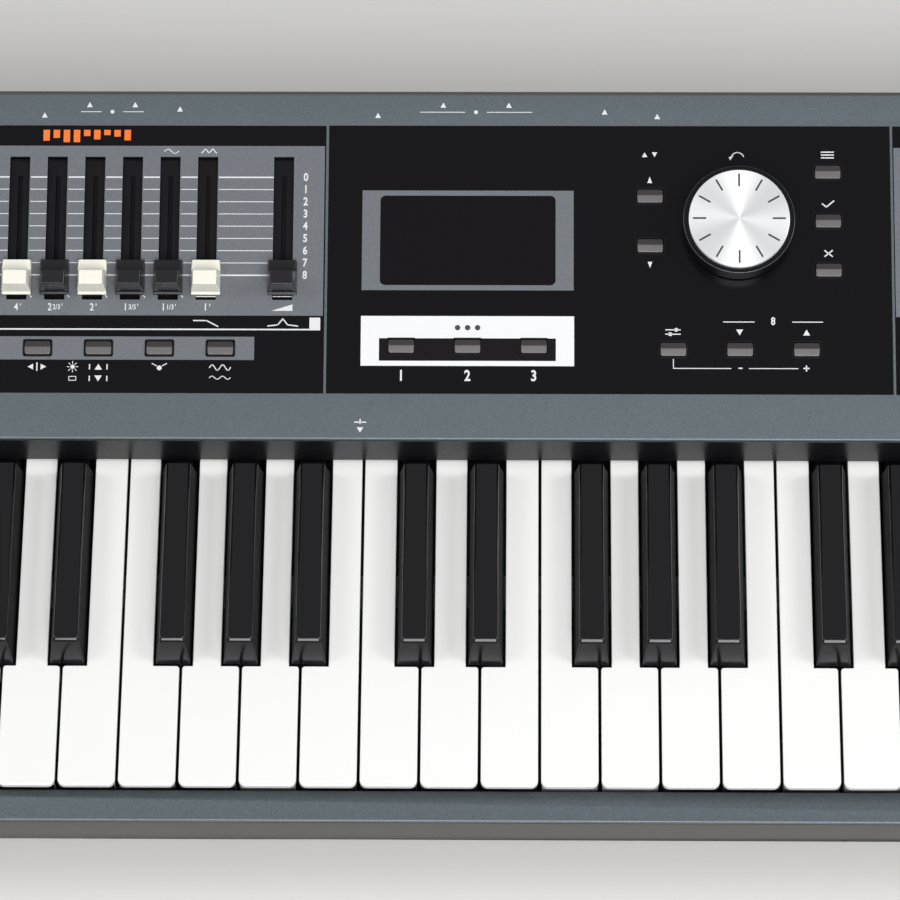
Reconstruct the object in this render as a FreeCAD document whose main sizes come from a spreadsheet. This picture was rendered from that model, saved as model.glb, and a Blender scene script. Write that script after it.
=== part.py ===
import FreeCAD, Part
import math
import os
import re
import Sketcher
from FreeCAD import Rotation, Vector

# Combo organ with 61 keys, millimetres. Row frame: X along the keys, Y to the rear, Z up,
# origin on the floor under the middle of the case. Everything on the sloping deck is drawn
# in the deck's own frame (x, s up the slope, h out of it) and then tilted into place.

OCTAVES = 5
OWN_OCTAVE = 2
WHITES_IN_OCTAVE = 7
WHITE_COUNT = OCTAVES * WHITES_IN_OCTAVE + 1
BAR_COUNT = 9

doc = FreeCAD.newDocument("combo_organ")
sheet = doc.addObject("Spreadsheet::Sheet", "Sizes")

CASE = {
    "case_length": 1008,
    "case_depth": 300,
    "foot_height": 7,
    "foot_radius": 12,
    "foot_inset_x": 74,
    "foot_inset_y": 32,
    "seam_height": 23,
    "wall": 2.8,
    "rail_height": 50.3,
    "rail_width": 14.8,
    "rail_round_y": 2.3,
    "rail_round_z": 6.3,
    "rail_lip": 2.2,
    "chin_z": 34.5,
    "chin_depth": 12,
    "rail_lip_depth": 12.3,
    "cheek_rise": 2,
    "cheek_front_z": 57,
    "cheek_rear_z": 62,
    "deck_front_y": 6.8,
    "deck_front_z": 70.2,
    "deck_slope": 11.86,
    "deck_rear_round": 3,
    "nameboard_lean": 1.9,
    "nameboard_gap": 1.2,
    "flange_depth": 18,
    "flange_thick": 2,
    "boss_radius": 3.4,
    "screw_radius": 1.45,
    "screw_head_radius": 3.4,
    "screw_head_height": 1.6,
    "screw_depth": 12,
    "screw_gap": 0.05,
    "rail_seat": 3.5,
    "pillar_wall": 2,
    "cheek_screw_inset": 14,
    "rear_screw_inset_x": 19,
    "rear_screw_inset_y": 9.5,
}
KEYS = {
    "keys_x": 34,
    "white_pitch": 23.5,
    "key_gap": 1.2,
    "well_gap": 0.6,
    "key_top_z": 54,
    "key_front_gap": 0.6,
    "key_lip": 1.5,
    "key_plate": 2.2,
    "key_wall": 1.4,
    "skirt_inset": 0.35,
    "side_skirt": 12,
    "front_skirt": 18,
    "front_round": 2.8,
    "notch_y": -84.3,
    "notch_width": 15.6,
    "sharp_c": -2.25,
    "sharp_d": 2.25,
    "sharp_f": -3.1,
    "sharp_g": 0.05,
    "sharp_a": 3.3,
    "black_rise": 10.8,
    "black_front_gap": 1,
    "black_rear_y": -2.3,
    "black_base": 13.7,
    "black_top": 9.4,
    "black_slope": 6.5,
    "black_arm": 10,
    "pivot_y": 75,
    "pivot_z": 46,
    "rod_radius": 2,
    "running_gap": 0.05,
    "pivot_wall": 2.6,
    "actuator_y": -37,
    "actuator_width": 4,
    "actuator_drop": 22,
    "stop_height": 25.8,
    "felt_thick": 2.4,
    "felt_gap": 0.4,
    "guide_gap": 0.4,
    "guide_top_z": 41,
    "chassis_z": 14,
    "chassis_thick": 2,
    "chassis_rear_y": 84,
    "stand_thick": 1.6,
    "dome_radius": 4,
    "dome_height": 6,
    "contact_board_width": 30,
    "board_thick": 1.6,
}
DECK = {
    "panel_thick": 2,
    "panel_gap": 0.15,
    "ledge": 4,
    "panel_front_s": 18.6,
    "panel_rear_s": 130.3,
    "panel_end_x": 468,
    "left_divider_x": -75.5,
    "right_divider_x": 151.7,
    "divider_width": 1,
    "bar_pitch": 15.2,
    "last_bar_x": -123.7,
    "level_x": -93,
    "bar_rest_s": 66.4,
    "bar_travel": 41,
    "slot_width": 8.1,
    "slot_front_s": 57.2,
    "slot_rear_s": 117,
    "cap_width": 11.7,
    "cap_lift": 0.8,
    "cap_front": 7.4,
    "cap_rear": 7.1,
    "cap_ledge": 3.2,
    "cap_height": 9.5,
    "lever_width": 1,
    "lever_length": 4.4,
    "lever_depth": 7,
    "pot_width": 9,
    "pot_height": 6.4,
    "pot_margin": 7.5,
    "board_top_h": -10.4,
    "post_width": 8,
    "button_width": 10.3,
    "button_depth": 5.4,
    "button_gap": 0.4,
    "button_rise": 1.2,
    "button_flange": 1,
    "button_travel": 0.5,
    "switch_size": 6,
    "switch_height": 3.5,
    "plunger_radius": 1.6,
    "plunger_height": 0.7,
    "organ_button_x": -117.4,
    "organ_button_pitch": 24.4,
    "organ_button_s": 37.15,
    "mode_button_x": -45.1,
    "mode_button_pitch": 26.5,
    "mode_button_s": 38.1,
    "cursor_x": 54.5,
    "cursor_s": 80,
    "cursor_pitch": 20.7,
    "menu_x": 126,
    "menu_s": 70,
    "menu_pitch": 20.45,
    "octave_button_x": 63.6,
    "octave_button_pitch": 26.6,
    "octave_button_s": 37.05,
    "preset_button_x": 205,
    "window_x": -18.7,
    "window_s": 82.2,
    "window_width": 70.2,
    "window_height": 37,
    "window_round": 2,
    "window_thick": 1.6,
    "module_margin": 2.5,
    "module_gap": 0.4,
    "dial_x": 89.8,
    "dial_s": 88.2,
    "dial_radius": 22.3,
    "dial_height": 12,
    "dial_lift": 1,
    "shaft_radius": 3,
    "shaft_depth": 5,
    "bushing_radius": 4.6,
    "bushing_top": 4,
    "sensor_size": 12.5,
    "sensor_height": 6.8,
    "knob_radius": 8,
    "knob_height": 15,
    "volume_x": -430,
    "drive_x": 215,
    "reverb_x": 275,
    "knob_s": 88.2,
}
INSIDE = {
    "bender_x": -450,
    "bender_y": -40,
    "bender_z": 36,
    "bender_open_x": 20,
    "bender_open_y": 20,
    "cradle_x": 18,
    "cradle_y": 12,
    "cradle_wall": 3.5,
    "cradle_tall": 12,
    "trunnion_radius": 2,
    "pin_radius": 1.5,
    "ear_gap": 4,
    "ear_thick": 3,
    "hub_x": 4,
    "lever_stem": 5,
    "handle_low_z": 66,
    "handle_top_z": 84,
    "handle_width": 9,
    "handle_depth": 18,
    "main_board_z": 34,
    "main_board_left": -215,
    "main_board_right": 455,
    "main_board_front": 96,
    "socket_face_gap": 0.1,
    "jack_width": 14,
    "jack_depth": 26,
    "jack_tall": 13.4,
    "jack_bore": 3.2,
    "jack_bore_depth": 24,
    "jack_collar": 5.8,
    "collar_gap": 0.3,
    "din_width": 20,
    "din_depth": 14,
    "din_collar": 9,
    "din_ring": 7.6,
    "din_core": 6.6,
    "din_ring_depth": 8,
    "din_hole": 0.8,
    "din_hole_circle": 4.4,
    "dc_x": 385,
    "dc_width": 10,
    "dc_tall": 12,
    "dc_depth": 15,
    "dc_bore": 2.8,
    "dc_pin": 1,
    "dc_bore_depth": 10,
    "power_x": 430,
    "power_width": 22,
    "power_tall": 16,
    "power_depth": 20,
    "rocker_width": 16,
    "rocker_tall": 9.6,
    "rocker_deep": 9,
    "rocker_gap": 1.4,
    "rocker_pin": 1.5,
}

row = 1
for table in (CASE, KEYS, DECK, INSIDE):
    for alias, value in table.items():
        sheet.set(f"A{row}", alias.replace("_", " "))
        sheet.set(f"B{row}", str(value))
        sheet.setAlias(f"B{row}", alias)
        row += 1
doc.recompute()

KNOWN = re.compile(r"\b(" + "|".join([*CASE, *KEYS, *DECK, *INSIDE]) + r")\b")


# Sizes that follow from the driving ones, as formulas of the sheet.
HALF_DEPTH = "case_depth / 2"
SEAM_Z = "(foot_height + seam_height)"
FLOOR_Z = "(foot_height + wall)"
RAIL_REAR = "(rail_width - case_depth / 2)"
RAIL_SEAT = f"({SEAM_Z} - rail_seat)"
CHIN_WALL = "wall * sqrt(1 + (chin_depth / (chin_z - foot_height)) ^ 2)"
DECK_END_Y = "(case_depth / 2 - deck_rear_round)"
DECK_END_Z = f"(deck_front_z + ({DECK_END_Y} - deck_front_y) * tan(deck_slope))"
KEYS_WIDTH = f"({WHITE_COUNT} * white_pitch)"
WELL_WIDTH = f"({KEYS_WIDTH} + 2 * well_gap)"
FIRST_KEY_X = f"(keys_x - {KEYS_WIDTH} / 2)"
KEY_FRONT = f"({RAIL_REAR} + key_front_gap)"
KEY_LOW = "(key_top_z - side_skirt)"
NAMEBOARD_LOW = "(key_top_z + nameboard_gap)"
BOARD_LOW = "(board_top_h - board_thick)"
CHASSIS_TOP = "(chassis_z + chassis_thick)"
BLACK_FRONT = "(notch_y + black_front_gap)"
SOCKET_FACE = "(case_depth / 2 - socket_face_gap)"
MAIN_TOP = "(main_board_z + board_thick)"
SWITCH_TOP = "(board_top_h + switch_height + plunger_height)"
BUTTON_LOW = f"({SWITCH_TOP} + button_travel + 0.1)"
# a black key stands beside the gap between two white keys, by its own small shift
SHARPS = {note: f"({gap} * white_pitch + sharp_{note})" for note, gap in zip("cdfga", (1, 2, 4, 5, 6))}
PANELS = {
    "left": ("-panel_end_x", "(left_divider_x - divider_width / 2)"),
    "center": ("(left_divider_x + divider_width / 2)", "(right_divider_x - divider_width / 2)"),
    "right": ("(right_divider_x + divider_width / 2)", "panel_end_x"),
}
ORGAN_BUTTONS = [(f"(organ_button_x - {i} * organ_button_pitch)", "organ_button_s") for i in range(4)]
MODE_BUTTONS = [(f"(mode_button_x + {i} * mode_button_pitch)", "mode_button_s") for i in range(3)]
CURSOR_BUTTONS = [("cursor_x", f"(cursor_s + {i} * cursor_pitch)") for i in range(2)]
MENU_BUTTONS = [("menu_x", f"(menu_s + {i} * menu_pitch)") for i in range(3)]
OCTAVE_BUTTONS = [(f"(octave_button_x + {i} * octave_button_pitch)", "octave_button_s") for i in range(3)]
PRESET_BUTTONS = [(f"(preset_button_x + {i} * octave_button_pitch)", "octave_button_s") for i in range(4)]
CENTER_BUTTONS = MODE_BUTTONS + CURSOR_BUTTONS + MENU_BUTTONS + OCTAVE_BUTTONS
BARS = [f"(last_bar_x - {BAR_COUNT - 1 - i} * bar_pitch)" for i in range(BAR_COUNT)]
SLIDERS = BARS + ["level_x"]
JACKS = [-190.3, -172.1, -153.7, -135.5, 36.3, 57.5]
DINS = [-55.3, -28.9, -2.4]
RAIL_SCREWS = [(x, f"(rail_width / 2 - case_depth / 2)") for x in (-340, -110, 130, 360)]
CHEEK_SCREWS = [(f"({side} * (case_length / 2 - cheek_screw_inset))", -110) for side in (-1, 1)]
REAR_SCREWS = [(x, "(case_depth / 2 - rear_screw_inset_y)")
               for x in ("(rear_screw_inset_x - case_length / 2)", -260, "(case_length / 2 - rear_screw_inset_x)")]
BOARD_POST_XS = ("(main_board_left + 7)", 10, 220, "(main_board_right - 8)")
BOARD_POST_YS = ("(main_board_front + 6)", "(case_depth / 2 - 9)")


def bound(text):
    """A formula with the sheet's names in it, as the document's objects read it."""
    return KNOWN.sub(r"Sizes.\1", str(text))


def bind(thing, **formulas):
    for name, formula in formulas.items():
        thing.setExpression(name, bound(formula))
    return thing


def place(thing, x=0, y=0, z=0):
    for axis, formula in zip("xyz", (x, y, z)):
        thing.setExpression(f"Placement.Base.{axis}", bound(formula))
    return thing


def on_deck(thing, x=0, s=0):
    """Tilts a thing drawn in the deck's frame into the row frame, at x and s on the deck."""
    thing.Placement.Rotation = Rotation(Vector(1, 0, 0), 10)
    thing.setExpression("Placement.Rotation.Angle", bound("deck_slope"))
    return place(thing, x, f"deck_front_y + ({s}) * cos(deck_slope)",
                 f"deck_front_z + ({s}) * sin(deck_slope)")


def body(label):
    return doc.addObject("PartDesign::Body", label)


def plane(owner, role):
    return next(f for f in owner.Origin.OriginFeatures if f.Role == role)


def sketch(owner, role, lift="0", deck=False):
    """An empty sketch on an origin plane of its body, lifted off it or laid on the deck."""
    made = owner.newObject("Sketcher::SketchObject", "Sketch")
    made.AttachmentSupport = [(plane(owner, role), "")]
    made.MapMode = "FlatFace"
    if deck:
        made.AttachmentOffset.Rotation = Rotation(Vector(1, 0, 0), 10)
        made.setExpression("AttachmentOffset.Rotation.Angle", bound("deck_slope"))
        made.setExpression("AttachmentOffset.Base.y", bound(f"deck_front_y - ({lift}) * sin(deck_slope)"))
        made.setExpression("AttachmentOffset.Base.z", bound(f"deck_front_z + ({lift}) * cos(deck_slope)"))
    else:
        made.setExpression("AttachmentOffset.Base.z", bound(lift))
    return made


def pin(drawn, kind, curve, point, formula, start):
    number = drawn.addConstraint(Sketcher.Constraint(kind, curve, point, start))
    drawn.setExpression(f"Constraints[{number}]", bound(formula))


def loop(drawn, corners):
    """A closed outline through corners, each an (x, y) pair of formulas."""
    first = drawn.GeometryCount
    count = len(corners)
    turn = 2 * math.pi / count
    start = [Vector(10 * math.cos(i * turn), 10 * math.sin(i * turn), 0) for i in range(count)]
    lines = [Part.LineSegment(start[i], start[(i + 1) % count]) for i in range(count)]
    drawn.addGeometry(lines, False)
    rules = [Sketcher.Constraint("Coincident", first + i, 2, first + (i + 1) % count, 1)
             for i in range(count)]
    drawn.addConstraint(rules)
    for i, (x, y) in enumerate(corners):
        pin(drawn, "DistanceX", first + i, 1, x, start[i].x)
        pin(drawn, "DistanceY", first + i, 1, y, start[i].y)


def rectangle(drawn, left, low, right, high):
    loop(drawn, [(left, low), (right, low), (right, high), (left, high)])


def centred(drawn, x, y, width, depth):
    rectangle(drawn, f"({x}) - ({width}) / 2", f"({y}) - ({depth}) / 2",
              f"({x}) + ({width}) / 2", f"({y}) + ({depth}) / 2")


def ring(drawn, x, y, radius):
    """A circle in a sketch, about a point given by formulas."""
    number = drawn.addGeometry(Part.Circle(Vector(1, 1, 0), Vector(0, 0, 1), 1), False)
    pin(drawn, "DistanceX", number, 3, x, 1)
    pin(drawn, "DistanceY", number, 3, y, 1)
    radius_of = drawn.addConstraint(Sketcher.Constraint("Radius", number, 1))
    drawn.setExpression(f"Constraints[{radius_of}]", bound(radius))


def feature(owner, kind, drawn, length, side="One side", reverse=False):
    made = owner.newObject(f"PartDesign::{kind}", kind)
    made.Profile = drawn
    made.SideType = side
    made.Reversed = reverse
    made.setExpression("Length", bound(length))
    drawn.Visibility = False
    return made


def pad(owner, drawn, length, side="One side", reverse=False):
    return feature(owner, "Pad", drawn, length, side, reverse)


def pocket(owner, drawn, length, side="One side", reverse=False):
    return feature(owner, "Pocket", drawn, length, side, reverse)


def row_of(owner, original, step, count, reverse=False):
    """Repeats a feature along X, count times a step apart."""
    made = owner.newObject("PartDesign::LinearPattern", "Row")
    made.Originals = [original]
    made.Direction = (plane(owner, "X_Axis"), [""])
    made.Reversed = reverse
    made.Occurrences = count
    made.setExpression("Length", bound(f"{count - 1} * ({step})"))
    owner.Tip = made
    return made


def round_uprights(owner, base, radius, wanted):
    """Rounds the upright edges of a feature that wanted(x, y) picks."""
    doc.recompute()
    names = []
    for number, edge in enumerate(base.Shape.Edges, 1):
        reach = edge.BoundBox
        if reach.XLength + reach.YLength < 0.001 and wanted(reach.XMin, reach.YMin):
            names.append(f"Edge{number}")
    made = owner.newObject("PartDesign::Fillet", "Fillet")
    made.Base = (base, names)
    made.setExpression("Radius", bound(radius))
    return made


def box(x, y, z, length, width, height):
    """A block from its low corner."""
    made = doc.addObject("Part::Box", "Block")
    bind(made, Length=length, Width=width, Height=height)
    return place(made, x, y, z)


def block(x_low, x_high, y_low, y_high, z_low, z_high):
    """A block between its faces."""
    return box(x_low, y_low, z_low, f"({x_high}) - ({x_low})", f"({y_high}) - ({y_low})",
               f"({z_high}) - ({z_low})")


def rod(x, y, z, radius, length, along="z"):
    """A cylinder that starts at a point and runs along one axis."""
    made = doc.addObject("Part::Cylinder", "Round")
    turn = {"x": Rotation(Vector(0, 1, 0), 90), "y": Rotation(Vector(1, 0, 0), -90), "z": Rotation()}
    made.Placement.Rotation = turn[along]
    bind(made, Radius=radius, Height=length)
    return place(made, x, y, z)


def joined(label, pieces):
    made = doc.addObject("Part::MultiFuse", label)
    made.Shapes = pieces
    made.Refine = True
    return made


def together(label, pieces):
    made = doc.addObject("Part::Compound", label)
    made.Links = pieces
    return made


def cut(label, base, tools):
    made = doc.addObject("Part::Cut", label)
    made.Base = base
    made.Tool = tools[0] if len(tools) == 1 else together("Tools", tools)
    return made


def chin_y(z, inward="0"):
    """The y of the sloping face under the front edge at a height, or of a line set in from it."""
    return f"(chin_depth * (chin_z - ({z})) / (chin_z - foot_height) + {inward} - {HALF_DEPTH})"


def make_top_case():
    case = body("top_case")
    outer = sketch(case, "YZ_Plane")
    loop(outer, [
        (chin_y(SEAM_Z), SEAM_Z),
        (f"-{HALF_DEPTH}", "chin_z"),
        (f"-{HALF_DEPTH}", "rail_height - rail_round_z"),
        (f"rail_round_y - {HALF_DEPTH}", "rail_height"),
        (RAIL_REAR, "rail_height"),
        (f"{RAIL_REAR} + cheek_rise", "cheek_front_z"),
        (f"deck_front_y - nameboard_lean / 2", "cheek_rear_z"),
        ("deck_front_y", "deck_front_z"),
        (DECK_END_Y, DECK_END_Z),
        (f"{DECK_END_Y} + deck_rear_round * 0.7", f"{DECK_END_Z} - deck_rear_round * 0.3"),
        (HALF_DEPTH, f"{DECK_END_Z} - deck_rear_round"),
        (HALF_DEPTH, SEAM_Z)])
    pad(case, outer, "case_length", "Symmetric")

    hollow = sketch(case, "YZ_Plane")
    loop(hollow, [
        (chin_y(f"{SEAM_Z} - wall", CHIN_WALL), f"{SEAM_Z} - wall"),
        (f"wall - {HALF_DEPTH}", "chin_z"),
        (f"wall - {HALF_DEPTH}", "rail_height - rail_round_z"),
        (f"wall + rail_round_y - {HALF_DEPTH}", "rail_height - wall"),
        (f"{RAIL_REAR} - rail_lip", "rail_height - wall"),
        (f"{RAIL_REAR} - rail_lip", "rail_height - rail_lip_depth"),
        (f"{RAIL_REAR} + wall", "rail_height - rail_lip_depth"),
        (f"{RAIL_REAR} + cheek_rise + wall", "cheek_front_z - wall"),
        ("deck_front_y + wall / 2", "cheek_rear_z - wall"),
        ("deck_front_y + wall", "deck_front_z + wall * tan(deck_slope) - wall / cos(deck_slope)"),
        (DECK_END_Y, f"{DECK_END_Z} - wall / cos(deck_slope)"),
        (f"{HALF_DEPTH} - wall", f"{DECK_END_Z} - deck_rear_round - wall / 2"),
        (f"{HALF_DEPTH} - wall", f"{SEAM_Z} - wall")])
    pocket(case, hollow, "case_length - 2 * wall", "Symmetric")

    well = sketch(case, "YZ_Plane", "keys_x")
    loop(well, [
        (RAIL_REAR, f"{SEAM_Z} - wall"),
        (RAIL_REAR, DECK_END_Z),
        ("deck_front_y", DECK_END_Z),
        ("deck_front_y", "deck_front_z"),
        ("deck_front_y - nameboard_lean", NAMEBOARD_LOW),
        ("deck_front_y - nameboard_lean", f"{SEAM_Z} - wall")])
    pocket(case, well, WELL_WIDTH, "Symmetric")

    for side in (-1, 1):
        cheek = sketch(case, "YZ_Plane", f"keys_x + {side} * ({WELL_WIDTH} / 2 + wall / 2)")
        loop(cheek, [
            (RAIL_REAR, SEAM_Z),
            (RAIL_REAR, "rail_height"),
            (f"{RAIL_REAR} + cheek_rise", "cheek_front_z"),
            ("deck_front_y - nameboard_lean / 2", "cheek_rear_z"),
            ("deck_front_y + wall", "cheek_rear_z"),
            ("deck_front_y + wall", SEAM_Z)])
        pad(case, cheek, "wall", "Symmetric")

    nameboard = sketch(case, "YZ_Plane", "keys_x")
    flange_y = "(deck_front_y + flange_depth)"
    flange_low = f"({NAMEBOARD_LOW} + felt_thick)"
    loop(nameboard, [
        ("deck_front_y - nameboard_lean", NAMEBOARD_LOW),
        ("deck_front_y", "deck_front_z"),
        ("deck_front_y + wall", "deck_front_z"),
        ("deck_front_y + wall / 2", f"{flange_low} + flange_thick"),
        (flange_y, f"{flange_low} + flange_thick"),
        (flange_y, flange_low),
        ("deck_front_y + wall / 2", flange_low),
        ("deck_front_y - nameboard_lean + wall", NAMEBOARD_LOW)])
    pad(case, nameboard, WELL_WIDTH, "Symmetric")

    ledges = sketch(case, "XY_Plane", deck=True)
    openings = sketch(case, "XY_Plane", deck=True)
    for left, right in PANELS.values():
        rectangle(ledges, left, "panel_front_s", right, "panel_rear_s")
        inner_left = f"{left} + ledge - (divider_width / 2)"
        inner_right = f"{right} - ledge + (divider_width / 2)"
        rectangle(openings, inner_left, "panel_front_s + ledge", inner_right, "panel_rear_s - ledge")
    pocket(case, ledges, "panel_thick")
    pocket(case, openings, "2 * wall")

    for left, right in PANELS.values():
        posts = sketch(case, "XY_Plane", "-wall", deck=True)
        edge = "(divider_width / 2 + panel_gap)"
        for x in (f"{left} - {edge} + post_width / 2 + 0.2", f"{right} + {edge} - post_width / 2 - 0.2"):
            for s in ("panel_front_s + ledge / 2", "panel_rear_s - ledge / 2"):
                centred(posts, x, s, "post_width", "ledge * 0.8")
        pad(case, posts, "-board_top_h - wall", reverse=True)

    for spots, foot, top in ((RAIL_SCREWS, SEAM_Z, "rail_height - wall / 2"),
                             (CHEEK_SCREWS, FLOOR_Z, "cheek_front_z - wall / 2"),
                             (REAR_SCREWS, FLOOR_Z, f"{DECK_END_Z} - 1.4 * wall")):
        bosses = sketch(case, "XY_Plane", foot)
        bores = sketch(case, "XY_Plane", foot)
        for x, y in spots:
            ring(bosses, x, y, "boss_radius")
            ring(bores, x, y, "screw_radius + screw_gap")
        pad(case, bosses, f"{top} - {foot}")
        pocket(case, bores, "screw_depth + 2", reverse=True)

    bender = sketch(case, "XY_Plane", "deck_front_z")
    centred(bender, "bender_x", "bender_y", "2 * bender_open_x", "2 * bender_open_y")
    pocket(case, bender, "deck_front_z - cheek_front_z + 3 * wall")

    round_sockets = sketch(case, "XZ_Plane", f"-{HALF_DEPTH}")
    for x in JACKS:
        ring(round_sockets, x, f"{MAIN_TOP} + jack_tall / 2", "jack_collar + collar_gap")
    for x in DINS:
        ring(round_sockets, x, f"{MAIN_TOP} + din_width / 2", "din_collar + collar_gap")
    pocket(case, round_sockets, "3 * wall", "Symmetric")
    sockets = sketch(case, "XZ_Plane", f"-{HALF_DEPTH}")
    centred(sockets, "dc_x", f"{MAIN_TOP} + dc_tall / 2", "dc_width + 2 * collar_gap",
            "dc_tall + 2 * collar_gap")
    centred(sockets, "power_x", f"{MAIN_TOP} + power_tall / 2", "power_width + 2 * collar_gap",
            "power_tall + 2 * collar_gap")
    pocket(case, sockets, "3 * wall", "Symmetric")
    return case


def make_bottom_case():
    case = body("bottom_case")
    outline = sketch(case, "YZ_Plane")
    loop(outline, [
        (chin_y("foot_height"), "foot_height"),
        (chin_y(SEAM_Z), SEAM_Z),
        (HALF_DEPTH, SEAM_Z),
        (HALF_DEPTH, "foot_height")])
    pad(case, outline, "case_length", "Symmetric")
    inside = sketch(case, "YZ_Plane")
    loop(inside, [
        (chin_y(FLOOR_Z, CHIN_WALL), FLOOR_Z),
        (chin_y(f"{SEAM_Z} + wall", CHIN_WALL), f"{SEAM_Z} + wall"),
        (f"{HALF_DEPTH} - wall", f"{SEAM_Z} + wall"),
        (f"{HALF_DEPTH} - wall", FLOOR_Z)])
    pocket(case, inside, "case_length - 2 * wall", "Symmetric")

    # the rail's screws sit deep in the sloping face, each in a pillar that is cut flush with it
    pillars = sketch(case, "XY_Plane", FLOOR_Z)
    for x, y in RAIL_SCREWS:
        ring(pillars, x, y, "screw_head_radius + pillar_wall")
    pad(case, pillars, f"{SEAM_Z} - {FLOOR_Z}")
    chin = sketch(case, "YZ_Plane")
    loop(chin, [
        (f"-2 * screw_head_radius - {HALF_DEPTH}", "foot_height - wall"),
        (chin_y("foot_height - wall"), "foot_height - wall"),
        (chin_y(SEAM_Z), SEAM_Z),
        (f"-2 * screw_head_radius - {HALF_DEPTH}", SEAM_Z)])
    pocket(case, chin, "case_length + wall", "Symmetric")
    ribs = sketch(case, "XY_Plane", FLOOR_Z)
    for y in (f"({KEY_FRONT} + 14.6)", -15, "(chassis_rear_y - 14)"):
        centred(ribs, "keys_x", y, f"{KEYS_WIDTH} - 20", "wall")
    pad(case, ribs, f"chassis_z - {FLOOR_Z}")
    for y in BOARD_POST_YS:
        posts = sketch(case, "XY_Plane", FLOOR_Z)
        for x in BOARD_POST_XS:
            centred(posts, x, y, "2 * wall", "2 * wall")
        pad(case, posts, f"main_board_z - {FLOOR_Z}")
    for spots, seat, top in ((RAIL_SCREWS, RAIL_SEAT, SEAM_Z),
                             (CHEEK_SCREWS + REAR_SCREWS, "(foot_height + screw_head_height)", FLOOR_Z)):
        heads = sketch(case, "XY_Plane", "foot_height")
        shanks = sketch(case, "XY_Plane", "foot_height")
        for x, y in spots:
            ring(heads, x, y, "screw_head_radius + screw_gap")
            ring(shanks, x, y, "screw_radius + screw_gap")
        pocket(case, heads, f"{seat} - foot_height", reverse=True)
        pocket(case, shanks, f"{top} - foot_height", reverse=True)
    return case


def make_case_screws():
    screws = []
    for spots, seat, floor in ((RAIL_SCREWS, RAIL_SEAT, SEAM_Z),
                               (CHEEK_SCREWS + REAR_SCREWS, "(foot_height + screw_head_height)", FLOOR_Z)):
        for x, y in spots:
            head = rod(x, y, f"{seat} - screw_head_height", "screw_head_radius", "screw_head_height")
            shank = rod(x, y, seat, "screw_radius", f"{floor} + screw_depth - {seat}")
            screws.append(joined("Screw", [head, shank]))
    return together("case_screws", screws)


def make_rubber_feet():
    feet = []
    for side_x in (-1, 1):
        for side_y in (-1, 1):
            foot = doc.addObject("Part::Cone", "Foot")
            bind(foot, Radius1="foot_radius - 1.5", Radius2="foot_radius", Height="foot_height")
            place(foot, f"{side_x} * (case_length / 2 - foot_inset_x)",
                  f"{side_y} * (case_depth / 2 - foot_inset_y)", 0)
            feet.append(foot)
    return together("rubber_feet", feet)


def make_white_key(label, low, high, notch_left, notch_right, is_top=False):
    """A white key between two boundaries, with a notch up to each black key beside it."""
    key = body(label)
    left = f"({low} + key_gap / 2)"
    right = f"({high} - key_gap / 2)"
    rear_left = f"({notch_left} + notch_width / 2)" if notch_left else left
    rear_right = f"({notch_right} - notch_width / 2)" if notch_right else right
    rear = f"(pivot_y + rod_radius + pivot_wall)"

    def plan(drawn, inset, front, end):
        notch = f"notch_y - ({inset})"
        corners = [(f"{left} + {inset}", front), (f"{right} - {inset}", front)]
        if notch_right:
            corners += [(f"{right} - {inset}", notch), (f"{rear_right} - {inset}", notch)]
        corners += [(f"{rear_right} - {inset}", end), (f"{rear_left} + {inset}", end)]
        if notch_left:
            corners += [(f"{rear_left} + {inset}", notch), (f"{left} + {inset}", notch)]
        loop(drawn, corners)

    plate = sketch(key, "XY_Plane", "key_top_z")
    plan(plate, "0", KEY_FRONT, rear)
    top = pad(key, plate, "key_plate", reverse=True)
    round_uprights(key, top, "front_round", lambda x, y: y < top.Shape.BoundBox.YMin + 0.01)
    skirt = sketch(key, "XY_Plane", "key_top_z - key_plate / 2")
    plan(skirt, "skirt_inset", f"{KEY_FRONT} + key_lip", rear)
    pad(key, skirt, "side_skirt - key_plate / 2", reverse=True)
    front = sketch(key, "XY_Plane", "key_top_z - key_plate / 2")
    rectangle(front, f"{left} + skirt_inset", f"{KEY_FRONT} + key_lip", f"{right} - skirt_inset",
              f"{KEY_FRONT} + key_lip + key_wall")
    pad(key, front, "front_skirt - key_plate / 2", reverse=True)
    hollow = sketch(key, "XY_Plane", KEY_LOW)
    plan(hollow, "skirt_inset + key_wall", f"{KEY_FRONT} + key_lip + key_wall", "pivot_y - rod_radius - 2 * pivot_wall")
    pocket(key, hollow, "side_skirt - key_plate", reverse=True)
    actuator = sketch(key, "XY_Plane", "key_top_z - key_plate / 2")
    centred(actuator, f"({rear_left} + {rear_right}) / 2", "actuator_y", "actuator_width", "actuator_width")
    pad(key, actuator, "actuator_drop", reverse=True)
    bore = sketch(key, "YZ_Plane", low)
    ring(bore, "pivot_y", "pivot_z", "rod_radius + running_gap")
    pocket(key, bore, "3 * white_pitch", "Symmetric")
    if not is_top:
        place(key, FIRST_KEY_X + f" + {OWN_OCTAVE * WHITES_IN_OCTAVE} * white_pitch")
    return key


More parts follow.
